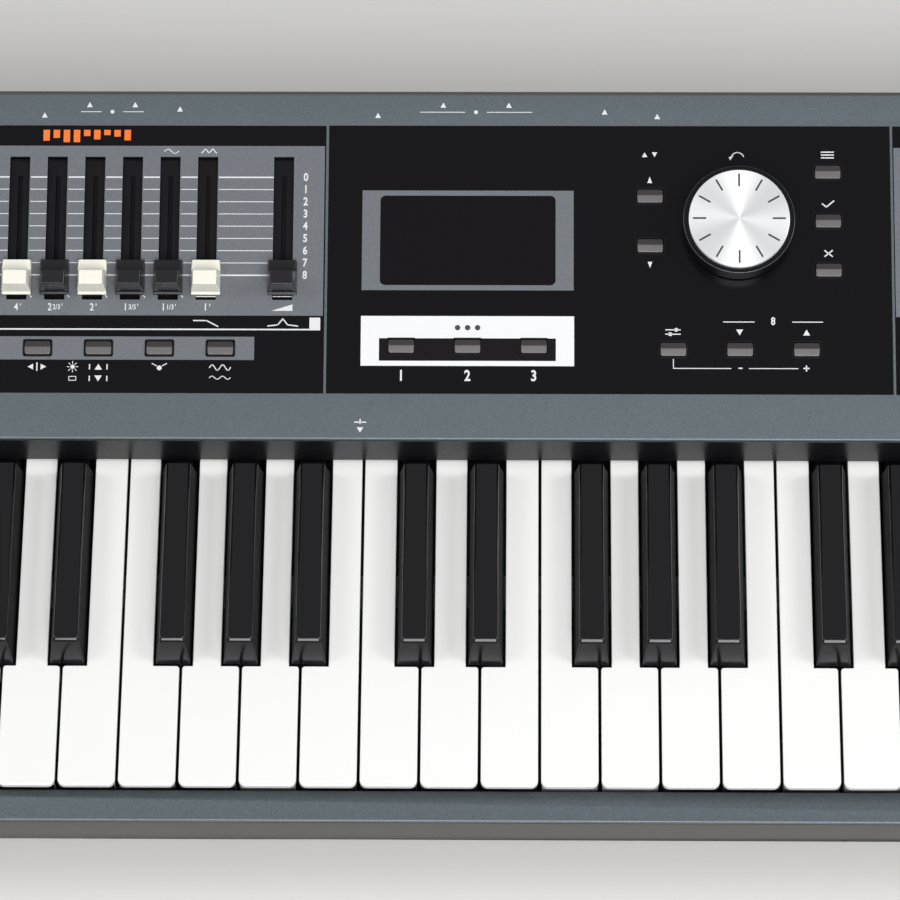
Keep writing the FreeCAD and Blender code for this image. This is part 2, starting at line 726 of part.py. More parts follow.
def make_black_key(label, centre):
    half = "black_base / 2"
    cap = doc.addObject("Part::Wedge", "Cap")
    cap.Placement.Rotation = Rotation(Vector(1, 0, 0), 90)
    bind(cap, Xmin=f"{centre} - {half}", Xmax=f"{centre} + {half}",
         X2min=f"{centre} - black_top / 2", X2max=f"{centre} + black_top / 2",
         Ymin="key_top_z", Ymax="key_top_z + black_rise",
         Zmin="-black_rear_y", Zmax=f"-{BLACK_FRONT}",
         Z2min="-black_rear_y + 0.8", Z2max=f"-{BLACK_FRONT} - black_slope")
    low = KEY_LOW
    trunk = block(f"{centre} - {half}", f"{centre} + {half}", BLACK_FRONT, "black_rear_y", low, "key_top_z")
    arm = block(f"{centre} - black_arm / 2", f"{centre} + black_arm / 2", "black_rear_y - key_wall",
                "pivot_y + rod_radius + pivot_wall", low, "key_top_z")
    solid = joined("Key", [cap, trunk, arm])
    inner = f"({half} - key_wall)"
    upper = "(black_top / 2 - key_wall)"
    arm_inner = "(black_arm / 2 - key_wall)"
    hollows = joined("Hollow", [
        block(f"{centre} - {inner}", f"{centre} + {inner}", f"{BLACK_FRONT} + key_wall",
              "black_rear_y - 2 * key_wall", f"{low} - 1", "key_top_z"),
        block(f"{centre} - {upper}", f"{centre} + {upper}", f"{BLACK_FRONT} + black_slope + key_wall",
              "black_rear_y - 2 * key_wall", f"{low} - 1", "key_top_z + black_rise - key_plate"),
        block(f"{centre} - {arm_inner}", f"{centre} + {arm_inner}", "black_rear_y - 3 * key_wall",
              "pivot_y - rod_radius - 2 * pivot_wall", f"{low} - 1", "key_top_z - key_plate")])
    bore = rod(f"{centre} - black_base", "pivot_y", "pivot_z", "rod_radius + running_gap",
               "2 * black_base", "x")
    shell = cut("Shell", solid, [hollows, bore])
    actuator = block(f"{centre} - actuator_width / 2", f"{centre} + actuator_width / 2",
                     "actuator_y - actuator_width / 2", "actuator_y + actuator_width / 2",
                     "key_top_z - key_plate / 2 - actuator_drop", "key_top_z + black_rise - key_plate / 2")
    key = joined(label, [shell, actuator])
    place(key, FIRST_KEY_X + f" + {OWN_OCTAVE * WHITES_IN_OCTAVE} * white_pitch")
    return key


def make_keys():
    """One octave of single keys, and the other octaves as groups of the same forms."""
    names = "cdefgab"
    sharps_beside = [(None, "c"), ("c", "d"), ("d", None), (None, "f"), ("f", "g"), ("g", "a"), ("a", None)]
    whites = []
    for i, (name, (left, right)) in enumerate(zip(names, sharps_beside)):
        whites.append(make_white_key(f"key_{name}4", f"{i} * white_pitch", f"{i + 1} * white_pitch",
                                     SHARPS.get(left), SHARPS.get(right)))
    blacks = [make_black_key(f"key_{name}_sharp4", centre) for name, centre in SHARPS.items()]
    top = make_white_key("TopC", "0 * white_pitch", "1 * white_pitch", None, None, is_top=True)
    place(top, f"{FIRST_KEY_X} + {WHITE_COUNT - 1} * white_pitch")
    groups = []
    for label, forms, more in (("other_white_keys", whites, [top]), ("other_black_keys", blacks, [])):
        copies = list(more)
        for octave in range(OCTAVES):
            if octave == OWN_OCTAVE:
                continue
            for form in forms:
                copy = doc.addObject("App::Link", "Copy")
                copy.LinkedObject = form
                place(copy, f"{FIRST_KEY_X} + {octave * WHITES_IN_OCTAVE} * white_pitch")
                copies.append(copy)
        groups.append(together(label, copies))
    return whites + blacks + groups


def key_middles():
    """The x of each key's rear half in the first octave, from its first boundary."""
    middles = list(SHARPS.values())
    for left, right in zip("0cd3fga", "cd3fga7"):
        low = f"({SHARPS[left]} + notch_width / 2)" if left in SHARPS else f"({left} * white_pitch)"
        high = f"({SHARPS[right]} - notch_width / 2)" if right in SHARPS else f"({right} * white_pitch)"
        middles.append(f"({low} + {high}) / 2")
    return middles


def make_keybed_chassis():
    """Pressed chassis under the keys, with guides inside them and stands for the hinge rod."""
    chassis = body("keybed_chassis")
    shelf_front = f"({RAIL_REAR} - 0.8)"
    shelf_low = "(stop_height - felt_thick - chassis_thick)"
    base = sketch(chassis, "XY_Plane", "chassis_z")
    rectangle(base, FIRST_KEY_X, shelf_front, f"{FIRST_KEY_X} + {KEYS_WIDTH}", "chassis_rear_y")
    pad(chassis, base, "chassis_thick")
    riser = sketch(chassis, "XY_Plane", "chassis_z")
    rectangle(riser, FIRST_KEY_X, shelf_front, f"{FIRST_KEY_X} + {KEYS_WIDTH}",
              f"{shelf_front} + chassis_thick")
    pad(chassis, riser, f"{shelf_low} - chassis_z + chassis_thick")
    shelf = sketch(chassis, "XY_Plane", shelf_low)
    rectangle(shelf, FIRST_KEY_X, shelf_front, f"{FIRST_KEY_X} + {KEYS_WIDTH}", f"{KEY_FRONT} + 8")
    pad(chassis, shelf, "chassis_thick")
    octave = f"{WHITES_IN_OCTAVE} * white_pitch"
    guide_height = f"guide_top_z - {CHASSIS_TOP}"
    guide = sketch(chassis, "XY_Plane", CHASSIS_TOP)
    centred(guide, f"{FIRST_KEY_X} + white_pitch / 2", f"{KEY_FRONT} + 25",
            "white_pitch - key_gap - 2 * (skirt_inset + key_wall + guide_gap)", 3)
    row_of(chassis, pad(chassis, guide, guide_height), "white_pitch", WHITE_COUNT)
    guides = sketch(chassis, "XY_Plane", CHASSIS_TOP)
    stands = sketch(chassis, "XY_Plane", CHASSIS_TOP)
    for centre in SHARPS.values():
        x = f"({FIRST_KEY_X} + {centre})"
        centred(guides, x, "notch_y + 24", "black_base - 2 * key_wall - 2 * guide_gap", 3)
        centred(stands, f"{x} - (notch_width / 2 + black_arm / 2) / 2", "pivot_y", "stand_thick", 10)
    row_of(chassis, pad(chassis, guides, guide_height), octave, OCTAVES)
    stand = pad(chassis, stands, f"pivot_z + rod_radius + pivot_wall - {CHASSIS_TOP}")
    row_of(chassis, stand, octave, OCTAVES)
    bore = sketch(chassis, "YZ_Plane", "keys_x")
    ring(bore, "pivot_y", "pivot_z", "rod_radius + running_gap / 2")
    pocket(chassis, bore, f"{KEYS_WIDTH} + 2", "Symmetric")
    return chassis


def make_keybed_parts():
    hinge_rod = rod(FIRST_KEY_X, "pivot_y", "pivot_z", "rod_radius", KEYS_WIDTH, "x")
    hinge_rod.Label = "key_hinge_rod"

    board_low = "(actuator_y - contact_board_width / 2)"
    board = block(f"{FIRST_KEY_X} + 2", f"{FIRST_KEY_X} + {KEYS_WIDTH} - 2", board_low,
                  f"{board_low} + contact_board_width", CHASSIS_TOP, f"{CHASSIS_TOP} + board_thick")
    board.Label = "key_contact_board"

    rubbers = body("key_contact_rubbers")
    strip = sketch(rubbers, "XY_Plane", f"{CHASSIS_TOP} + board_thick")
    rectangle(strip, f"{FIRST_KEY_X} + 3", "actuator_y - dome_radius - 3",
              f"{FIRST_KEY_X} + {KEYS_WIDTH} - 3", "actuator_y + dome_radius + 3")
    pad(rubbers, strip, 1)
    domes = sketch(rubbers, "XY_Plane", f"{CHASSIS_TOP} + board_thick")
    for middle in key_middles():
        ring(domes, f"{FIRST_KEY_X} + {middle}", "actuator_y", "dome_radius")
    row_of(rubbers, pad(rubbers, domes, "dome_height"), f"{WHITES_IN_OCTAVE} * white_pitch", OCTAVES)
    last = sketch(rubbers, "XY_Plane", f"{CHASSIS_TOP} + board_thick")
    ring(last, f"{FIRST_KEY_X} + {WHITE_COUNT - 0.5} * white_pitch", "actuator_y", "dome_radius")
    pad(rubbers, last, "dome_height")

    lower = block(FIRST_KEY_X, f"{FIRST_KEY_X} + {KEYS_WIDTH}", f"{RAIL_REAR} - 0.8", f"{KEY_FRONT} + 8",
                  "stop_height - felt_thick", "stop_height")
    upper = block(FIRST_KEY_X, f"{FIRST_KEY_X} + {KEYS_WIDTH}", "deck_front_y + wall / 2 + 1",
                  "deck_front_y + flange_depth - 1", "key_top_z + felt_gap", f"{NAMEBOARD_LOW} + felt_thick")
    felts = together("key_stop_felts", [lower, upper])
    return [hinge_rod, board, rubbers, felts]


def panel_blank(label, side):
    left, right = PANELS[side]
    panel = body(label)
    outline = sketch(panel, "XY_Plane")
    rectangle(outline, f"{left} + panel_gap", "panel_front_s + panel_gap", f"{right} - panel_gap",
              "panel_rear_s - panel_gap")
    pad(panel, outline, "panel_thick", reverse=True)
    return panel


def button_holes(panel, spots):
    holes = sketch(panel, "XY_Plane")
    for x, s in spots:
        centred(holes, x, s, "button_width + 2 * button_gap", "button_depth + 2 * button_gap")
    pocket(panel, holes, "2 * panel_thick", "Symmetric")


def shaft_holes(panel, spots):
    holes = sketch(panel, "XY_Plane")
    for x, s in spots:
        ring(holes, x, s, "bushing_radius + collar_gap")
    pocket(panel, holes, "2 * panel_thick", "Symmetric")


def slot_hole(panel, x):
    hole = sketch(panel, "XY_Plane")
    rectangle(hole, f"{x} - slot_width / 2", "slot_front_s", f"{x} + slot_width / 2", "slot_rear_s")
    return pocket(panel, hole, "2 * panel_thick", "Symmetric")


def make_panels():
    left = panel_blank("left_control_panel", "left")
    slot_hole(left, "level_x")
    row_of(left, slot_hole(left, "last_bar_x"), "bar_pitch", BAR_COUNT, reverse=True)
    button_holes(left, ORGAN_BUTTONS)
    shaft_holes(left, [("volume_x", "knob_s")])

    center = panel_blank("center_control_panel", "center")
    window = sketch(center, "XY_Plane")
    centred(window, "window_x", "window_s", "window_width + 2 * panel_gap", "window_height + 2 * panel_gap")
    opening = pocket(center, window, "2 * panel_thick", "Symmetric")
    round_uprights(center, opening, "window_round + panel_gap",
                   lambda x, y: x > opening.Shape.BoundBox.XMin + 1 and x < opening.Shape.BoundBox.XMax - 1)
    for spots in (MODE_BUTTONS, CURSOR_BUTTONS, MENU_BUTTONS, OCTAVE_BUTTONS):
        button_holes(center, spots)
    shaft_holes(center, [("dial_x", "dial_s")])

    right = panel_blank("right_control_panel", "right")
    button_holes(right, PRESET_BUTTONS)
    shaft_holes(right, [("drive_x", "knob_s"), ("reverb_x", "knob_s")])
    return [on_deck(panel) for panel in (left, center, right)]


def make_display():
    window = body("display_window")
    outline = sketch(window, "XY_Plane")
    centred(outline, "window_x", "window_s", "window_width", "window_height")
    sheet_of = pad(window, outline, "window_thick", reverse=True)
    round_uprights(window, sheet_of, "window_round", lambda x, y: True)
    on_deck(window)

    margin = "2 * module_margin"
    frame = block(f"window_x - (window_width + {margin}) / 2", f"window_x + (window_width + {margin}) / 2",
                  f"window_s - (window_height + {margin}) / 2", f"window_s + (window_height + {margin}) / 2",
                  "board_top_h", "-panel_thick - module_gap")
    frame.Label = "display_module"
    return [window, on_deck_block(frame)]


def on_deck_block(thing):
    """Tilts a block that was placed in the deck's frame, by way of a group of one."""
    label = thing.Label
    thing.Label = f"{label} flat"
    return on_deck(together(label, [thing]))


def make_slider(label, x):
    slider = body(label)
    side = sketch(slider, "YZ_Plane")
    loop(side, [
        ("-cap_front", "cap_lift"),
        ("-cap_front", "cap_lift + 0.9"),
        ("-cap_front * 0.68", "cap_height - 0.5"),
        ("-cap_front * 0.1", "cap_height"),
        ("cap_rear * 0.22", "cap_ledge + 0.8"),
        ("cap_rear", "cap_ledge"),
        ("cap_rear", "cap_lift")])
    pad(slider, side, "cap_width", "Symmetric")
    lever = sketch(slider, "XY_Plane", "cap_lift + 1")
    centred(lever, 0, 0, "lever_width", "lever_length")
    pad(slider, lever, "lever_depth + cap_lift + 1", reverse=True)
    return on_deck(slider, x, "bar_rest_s")


def make_slide_pots():
    pots = []
    for x in SLIDERS:
        front = "bar_rest_s - lever_length / 2 - pot_margin"
        rear = "bar_rest_s + bar_travel + lever_length / 2 + pot_margin"
        housing = block(f"{x} - pot_width / 2", f"{x} + pot_width / 2", front, rear,
                        "board_top_h", "board_top_h + pot_height")
        slot = block(f"{x} - lever_width / 2 - button_gap", f"{x} + lever_width / 2 + button_gap",
                     "bar_rest_s - lever_length / 2 - button_gap",
                     "bar_rest_s + bar_travel + lever_length / 2 + button_gap",
                     "-lever_depth - button_gap", "0")
        pots.append(cut("Pot", housing, [slot]))
    return on_deck(together("slide_potentiometers", pots))


def make_round_control(label, x, s, radius, height):
    """A turned cap with its shaft, hollow below."""
    control = body(label)
    half = sketch(control, "XZ_Plane")
    loop(half, [
        ("0", "-shaft_depth"), ("shaft_radius", "-shaft_depth"),
        ("shaft_radius", f"{height} * 0.6"), (f"{radius} * 0.83", f"{height} * 0.6"),
        (f"{radius} * 0.83", "dial_lift"), (f"{radius} * 0.93", "dial_lift"),
        (radius, f"{height} * 0.78"), (f"{radius} * 0.97", f"{height} - 0.5"),
        (f"{radius} * 0.92", height), ("0", height)])
    turned = control.newObject("PartDesign::Revolution", "Revolution")
    turned.Profile = half
    turned.ReferenceAxis = (half, ["V_Axis"])
    turned.Angle = 360
    return on_deck(control, x, s)


def make_rotary_sensors():
    sensors = []
    for x, s in (("volume_x", "knob_s"), ("dial_x", "dial_s"), ("drive_x", "knob_s"), ("reverb_x", "knob_s")):
        housing = block(f"{x} - sensor_size / 2", f"{x} + sensor_size / 2", f"{s} - sensor_size / 2",
                        f"{s} + sensor_size / 2", "board_top_h", "board_top_h + sensor_height")
        bushing = rod(x, s, "board_top_h + 1", "bushing_radius", "bushing_top - board_top_h - 1")
        bore = rod(x, s, "-shaft_depth - 0.5", "shaft_radius + running_gap", "bushing_top + shaft_depth + 1")
        sensors.append(cut("Sensor", joined("Housing", [housing, bushing]), [bore]))
    return on_deck(together("rotary_sensors", sensors))


def make_buttons(label, spots):
    caps = []
    for x, s in spots:
        cap = block(f"{x} - button_width / 2", f"{x} + button_width / 2", f"{s} - button_depth / 2",
                    f"{s} + button_depth / 2", BUTTON_LOW, "button_rise")
        flange_top = f"{BUTTON_LOW} + button_flange"
        flange = block(f"{x} - button_width / 2 - 1", f"{x} + button_width / 2 + 1",
                       f"{s} - button_depth / 2 - 1", f"{s} + button_depth / 2 + 1", BUTTON_LOW, flange_top)
        caps.append(joined("Button", [cap, flange]))
    return on_deck(together(label, caps))


def make_tact_switches():
    switches = []
    for x, s in ORGAN_BUTTONS + CENTER_BUTTONS + PRESET_BUTTONS:
        housing = block(f"{x} - switch_size / 2", f"{x} + switch_size / 2", f"{s} - switch_size / 2",
                        f"{s} + switch_size / 2", "board_top_h", "board_top_h + switch_height")
        plunger = rod(x, s, "board_top_h + 1", "plunger_radius", "switch_height + plunger_height - 1")
        switches.append(joined("Switch", [housing, plunger]))
    return on_deck(together("tact_switches", switches))


def make_panel_boards():
    boards = []
    for left, right in PANELS.values():
        outward = "(divider_width / 2)"
        boards.append(block(f"{left} - {outward} + 0.3", f"{right} + {outward} - 0.3", "panel_front_s - 3",
                            "panel_rear_s - 0.3", BOARD_LOW, "board_top_h"))
    return on_deck(together("panel_boards", boards))


def make_bender():
    """Pitch lever: a bracket, a cradle that tips away from the player and a lever that swings in it."""
    x, y, z = "bender_x", "bender_y", "bender_z"
    ear_in = "(cradle_x + ear_gap)"
    base = block(f"{x} - {ear_in} - ear_thick", f"{x} + {ear_in} + ear_thick", f"{y} - cradle_y - 4",
                 f"{y} + cradle_y + 4", FLOOR_Z, f"{FLOOR_Z} + ear_thick")
    ears = []
    for low in (f"{x} - {ear_in} - ear_thick", f"{x} + {ear_in}"):
        ears.append(block(low, f"{low} + ear_thick", f"{y} - cradle_y / 2", f"{y} + cradle_y / 2",
                          FLOOR_Z, f"{z} + 4 * trunnion_radius"))
    bore = rod(f"{x} - 2 * cradle_x", y, z, "trunnion_radius + running_gap", "4 * cradle_x", "x")
    bracket = cut("bender_bracket", joined("Bracket", [base, *ears]), [bore])

    inner_x = "(cradle_x - cradle_wall)"
    inner_y = "(cradle_y - cradle_wall)"
    low, high = f"{z} - cradle_tall / 2", f"{z} + cradle_tall / 2"
    frame = block(f"{x} - cradle_x", f"{x} + cradle_x", f"{y} - cradle_y", f"{y} + cradle_y", low, high)
    window = block(f"{x} - {inner_x}", f"{x} + {inner_x}", f"{y} - {inner_y}", f"{y} + {inner_y}",
                   f"{low} - 1", f"{high} + 1")
    pin_bore = rod(x, f"{y} - 2 * cradle_y", z, "pin_radius + running_gap", "4 * cradle_y", "y")
    hoop = cut("Hoop", frame, [window, pin_bore])
    reach = "(ear_gap + ear_thick - 0.4 + 1)"
    trunnions = [rod(f"{x} - cradle_x - {reach} + 1", y, z, "trunnion_radius", reach, "x"),
                 rod(f"{x} + cradle_x - 1", y, z, "trunnion_radius", reach, "x")]
    cradle = joined("bender_cradle", [hoop, *trunnions])

    hub_y = f"({inner_y} - 0.3)"
    hub = block(f"{x} - hub_x", f"{x} + hub_x", f"{y} - {hub_y}", f"{y} + {hub_y}", f"{z} - hub_x",
                f"{z} + hub_x")
    pivot = rod(x, f"{y} - cradle_y + 0.3", z, "pin_radius", "2 * cradle_y - 0.6", "y")
    stem = block(f"{x} - lever_stem / 2", f"{x} + lever_stem / 2", f"{y} - lever_stem / 2",
                 f"{y} + lever_stem / 2", z, "handle_low_z + 1")
    handle = doc.addObject("Part::Wedge", "Handle")
    handle.Placement.Rotation = Rotation(Vector(1, 0, 0), 90)
    bind(handle, Xmin=f"{x} - handle_width / 2", Xmax=f"{x} + handle_width / 2",
         X2min=f"{x} - handle_width / 3", X2max=f"{x} + handle_width / 3",
         Ymin="handle_low_z", Ymax="handle_top_z",
         Zmin=f"-({y}) - handle_depth / 2", Zmax=f"-({y}) + handle_depth / 2",
         Z2min=f"-({y}) - handle_depth / 2.6", Z2max=f"-({y}) + handle_depth / 2.6")
    lever = joined("bender_lever", [hub, pivot, stem, handle])
    return [bracket, cradle, lever]


def make_main_board():
    board = block("main_board_left", "main_board_right", "main_board_front", f"{HALF_DEPTH} - wall - 0.3",
                  "main_board_z", MAIN_TOP)
    chips = [block(x, x + size, y, y + size, "main_board_z + 0.5", f"{MAIN_TOP} + 2.5")
             for x, y, size in ((90, 104, 28), (140, 108, 20), (180, 104, 14), (210, 110, 14), (260, 104, 22))]
    return joined("main_board", [board, *chips])


def make_phone_jacks():
    jacks = []
    for x in JACKS:
        z = f"({MAIN_TOP} + jack_tall / 2)"
        inner = f"({HALF_DEPTH} - wall - 0.3)"
        housing = block(f"{x} - jack_width / 2", f"{x} + jack_width / 2", f"{inner} - jack_depth", inner,
                        MAIN_TOP, f"{MAIN_TOP} + jack_tall")
        collar = rod(x, f"{inner} - 1", z, "jack_collar", f"{SOCKET_FACE} - {inner} + 1", "y")
        bore = rod(x, f"{SOCKET_FACE} - jack_bore_depth", z, "jack_bore", "jack_bore_depth + 1", "y")
        jacks.append(cut("Jack", joined("Housing", [housing, collar]), [bore]))
    return together("phone_jacks", jacks)


def make_din_sockets():
    sockets = []
    for x in DINS:
        z = f"({MAIN_TOP} + din_width / 2)"
        inner = f"({HALF_DEPTH} - wall - 0.3)"
        housing = block(f"{x} - din_width / 2", f"{x} + din_width / 2", f"{inner} - din_depth", inner,
                        MAIN_TOP, f"{MAIN_TOP} + din_width")
        collar = rod(x, f"{inner} - 1", z, "din_collar", f"{SOCKET_FACE} - {inner} + 1", "y")
        start = f"{SOCKET_FACE} - din_ring_depth"
        groove = cut("Groove", rod(x, start, z, "din_ring", "din_ring_depth + 1", "y"),
                     [rod(x, start, z, "din_core", "din_ring_depth + 1", "y")])
        holes = []
        for turn in (0, 45, 90, 135, 180):
            holes.append(rod(f"{x} + din_hole_circle * cos({turn})", start,
                             f"{z} + din_hole_circle * sin({turn})", "din_hole", "din_ring_depth + 1", "y"))
        sockets.append(cut("Din", joined("Housing", [housing, collar]), [groove, *holes]))
    return together("din_sockets", sockets)


def make_dc_inlet():
    z = f"({MAIN_TOP} + dc_tall / 2)"
    housing = block("dc_x - dc_width / 2", "dc_x + dc_width / 2", f"{SOCKET_FACE} - dc_depth", SOCKET_FACE,
                    MAIN_TOP, f"{MAIN_TOP} + dc_tall")
    bore = rod("dc_x", f"{SOCKET_FACE} - dc_bore_depth", z, "dc_bore", "dc_bore_depth + 1", "y")
    pin_inside = rod("dc_x", f"{SOCKET_FACE} - dc_bore_depth - 1", z, "dc_pin", "dc_bore_depth", "y")
    return joined("dc_inlet", [cut("Inlet", housing, [bore]), pin_inside])


def make_power_switch():
    z = f"({MAIN_TOP} + power_tall / 2)"
    pivot = f"({SOCKET_FACE} - rocker_deep / 2 - 1.5)"
    housing = block("power_x - power_width / 2", "power_x + power_width / 2",
                    f"{SOCKET_FACE} - power_depth", SOCKET_FACE, MAIN_TOP, f"{MAIN_TOP} + power_tall")
    half_x = "(rocker_width / 2 + 0.3)"
    cavity = block(f"power_x - {half_x}", f"power_x + {half_x}",
                   f"{pivot} - rocker_deep / 2 - rocker_gap", f"{SOCKET_FACE} + 1",
                   f"{z} - rocker_tall / 2 - rocker_gap", f"{z} + rocker_tall / 2 + rocker_gap")
    reach = "(rocker_width / 2 + 2)"
    pin_bore = rod(f"power_x - {reach} - 0.3", pivot, z, "rocker_pin + running_gap",
                   f"2 * ({reach} + 0.3)", "x")
    shell = cut("power_switch_housing", housing, [cavity, pin_bore])
    paddle = block("power_x - rocker_width / 2", "power_x + rocker_width / 2", f"{pivot} - rocker_deep / 2",
                   f"{pivot} + rocker_deep / 2", f"{z} - rocker_tall / 2", f"{z} + rocker_tall / 2")
    pins = rod(f"power_x - {reach}", pivot, z, "rocker_pin", f"2 * {reach}", "x")
    rocker = joined("power_rocker", [paddle, pins])
    return [shell, rocker]


subparts = [make_top_case(), make_bottom_case(), make_case_screws(), make_rubber_feet()]
subparts += make_keys()
subparts.append(make_keybed_chassis())
subparts += make_keybed_parts()
subparts += make_panels()
subparts += make_display()
subparts += [make_slider(f"harmonic_bar_{i + 1}", x) for i, x in enumerate(BARS)]
subparts.append(make_slider("level_slider", "level_x"))
subparts.append(make_slide_pots())
subparts.append(make_round_control("value_dial", "dial_x", "dial_s", "dial_radius", "dial_height"))
for knob in ("volume", "drive", "reverb"):
    subparts.append(make_round_control(f"{knob}_knob", f"{knob}_x", "knob_s", "knob_radius", "knob_height"))
subparts.append(make_rotary_sensors())
subparts.append(make_buttons("organ_buttons", ORGAN_BUTTONS))
subparts.append(make_buttons("mode_buttons", MODE_BUTTONS))
subparts.append(make_buttons("edit_buttons", CURSOR_BUTTONS + MENU_BUTTONS))
subparts.append(make_buttons("octave_buttons", OCTAVE_BUTTONS))
subparts.append(make_buttons("preset_buttons", PRESET_BUTTONS))
subparts.append(make_tact_switches())
subparts.append(make_panel_boards())
subparts += make_bender()
subparts.append(make_main_board())
subparts += [make_phone_jacks(), make_din_sockets(), make_dc_inlet()]
subparts += make_power_switch()

doc.recompute()
for thing in doc.Objects:
    if "Invalid" in thing.State or "Error" in thing.State:
        raise SystemExit(f"{thing.Label} ({thing.Name}) is {thing.State}")

os.makedirs("parts", exist_ok=True)
for part in subparts:
    shape = part.Shape
    if shape.isNull() or not shape.isValid() or not shape.Solids:
        raise SystemExit(f"{part.Label} has no valid solid")
    shape.exportStep(f"parts/{part.Label}.step")
print(len(subparts), "nodes,", sum(len(part.Shape.Solids) for part in subparts), "solids")
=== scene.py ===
import bmesh
import bpy
import math
from mathutils import Matrix, Vector


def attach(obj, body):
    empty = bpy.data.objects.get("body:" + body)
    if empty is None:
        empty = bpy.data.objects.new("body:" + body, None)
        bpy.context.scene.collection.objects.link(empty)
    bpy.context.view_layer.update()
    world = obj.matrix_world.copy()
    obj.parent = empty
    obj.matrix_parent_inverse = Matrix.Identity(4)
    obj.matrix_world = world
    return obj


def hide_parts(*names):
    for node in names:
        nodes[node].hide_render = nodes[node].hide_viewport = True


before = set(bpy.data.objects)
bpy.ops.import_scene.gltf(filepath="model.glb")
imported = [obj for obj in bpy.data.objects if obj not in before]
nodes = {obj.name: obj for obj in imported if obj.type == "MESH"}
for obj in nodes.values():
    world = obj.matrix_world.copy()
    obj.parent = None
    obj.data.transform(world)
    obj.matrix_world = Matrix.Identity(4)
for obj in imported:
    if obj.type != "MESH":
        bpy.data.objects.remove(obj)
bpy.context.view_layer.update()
mm = 0.001
root = "case"

# the sloping deck has its own frame: x, s up the slope and h out of it
deck = {"y": 6.8, "z": 70.2, "slope": 11.86}
deckStart = Vector((0, deck["y"] * mm, deck["z"] * mm))
deckTurn = math.radians(deck["slope"])
deckPlace = Matrix.Translation(deckStart) @ Matrix.Rotation(deckTurn, 4, "X")


# selecting and shaping

def only(*things):
    bpy.ops.object.select_all(action="DESELECT")
    for thing in things:
        thing.select_set(True)
    bpy.context.view_layer.objects.active = things[0]
    return things[0]


def edit(thing):
    only(thing)
    bpy.ops.object.mode_set(mode="EDIT")


def leave():
    bpy.ops.object.mode_set(mode="OBJECT")


def pick(kind, wanted):
    # in edit mode: selects the vertices, edges or faces that wanted() accepts
    bpy.ops.mesh.select_mode(type=kind)
    bpy.ops.mesh.select_all(action="DESELECT")
    data = bpy.context.object.data
    mesh = bmesh.from_edit_mesh(data)
    parts = {"VERT": mesh.verts, "EDGE": mesh.edges, "FACE": mesh.faces}[kind]
    chosen = [part for part in parts if wanted(part)]
    for part in chosen:
        part.select_set(True)
    mesh.select_flush_mode()
    bmesh.update_edit_mesh(data)
    return len(chosen)


def isSharp(edge, degrees=30):
    return len(edge.link_faces) == 2 and edge.calc_face_angle(0) > math.radians(degrees)


def roundEdges(width, steps=3, clamp=False):
    bpy.ops.mesh.bevel(offset=width * mm, segments=steps, affect="EDGES", clamp_overlap=clamp)


def raiseFaces(rise):
    bpy.ops.mesh.extrude_region_move(TRANSFORM_OT_translate={"value": (0, 0, rise * mm)})


def addBox(xs, ys, zs):
    # a block between limits in millimetres, ready to be shaped
    bpy.ops.object.select_all(action="DESELECT")
    bpy.ops.mesh.primitive_cube_add(size=1)
    thing = bpy.context.object
    thing.scale = [(high - low) * mm for low, high in (xs, ys, zs)]
    thing.location = [(high + low) / 2 * mm for low, high in (xs, ys, zs)]
    bpy.ops.object.transform_apply(location=True, rotation=True, scale=True)
    return thing


def addDrum(radius, low, high, sides=96):
    bpy.ops.object.select_all(action="DESELECT")
    bpy.ops.mesh.primitive_cylinder_add(vertices=sides, radius=radius * mm, depth=(high - low) * mm,
                                        location=(0, 0, (high + low) / 2 * mm))
    bpy.ops.object.transform_apply(location=True, rotation=True, scale=True)
    return bpy.context.object


def twin(thing, place=Matrix()):
    # a copy with its own mesh
    other = bpy.data.objects.new(thing.name, thing.data.copy())
    other.data.transform(place)
    bpy.context.collection.objects.link(other)
    return other


def repeat(thing, spots):
    # the modelled thing at each spot of its own plane, in millimetres
    made = [twin(thing, Matrix.Translation((x * mm, s * mm, 0))) for x, s in spots]
    bpy.data.objects.remove(thing)
    return made


def joinAll(things):
    only(*things)
    if len(things) > 1:
        bpy.ops.object.join()
    return bpy.context.view_layer.objects.active


def layOnDeck(thing):
    thing.data.transform(deckPlace)
    return thing


def finish(thing, name, body, finishes, stands=(), angle=35):
    thing.name = name
    thing.data.name = name
    only(thing)
    bpy.ops.object.shade_smooth_by_angle(angle=math.radians(angle))
    bpy.ops.object.modifier_add(type="WEIGHTED_NORMAL")
    thing.modifiers[-1].keep_sharp = True
    bpy.ops.object.modifier_apply(modifier=thing.modifiers[-1].name)
    if finishes:
        thing.data.materials.clear()
        for material in finishes:
            thing.data.materials.append(material)
    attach(thing, body)
    if stands:
        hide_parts(*stands)
    return thing


def cleanCopy(node):
    # the node's mesh in a new object, with its triangles merged into whole faces
    thing = bpy.data.objects.new(node, nodes[node].data.copy())
    bpy.context.collection.objects.link(thing)
    edit(thing)
    bpy.ops.mesh.select_all(action="SELECT")
    bpy.ops.mesh.remove_doubles(threshold=0.000002)
    bpy.ops.mesh.dissolve_limited(angle_limit=math.radians(0.6))
    leave()
    return thing


# shared effects

def newGroup(name, inputs, outputs):
    group = bpy.data.node_groups.new(name, "ShaderNodeTree")
    for label, kind, value in inputs:
        socket = group.interface.new_socket(name=label, in_out="INPUT", socket_type=kind)
        socket.default_value = value
    for label, kind in outputs:
        group.interface.new_socket(name=label, in_out="OUTPUT", socket_type=kind)
    return group, group.nodes.new("NodeGroupInput"), group.nodes.new("NodeGroupOutput")


def calc(tree, operation, *values):
    # a math node fed with numbers or with other nodes' outputs
    node = tree.nodes.new("ShaderNodeMath")
    node.operation = operation
    for socket, value in zip(node.inputs, values):
        if isinstance(value, (int, float)):
            socket.default_value = value
        else:
            tree.links.new(value, socket)
    return node.outputs[0]


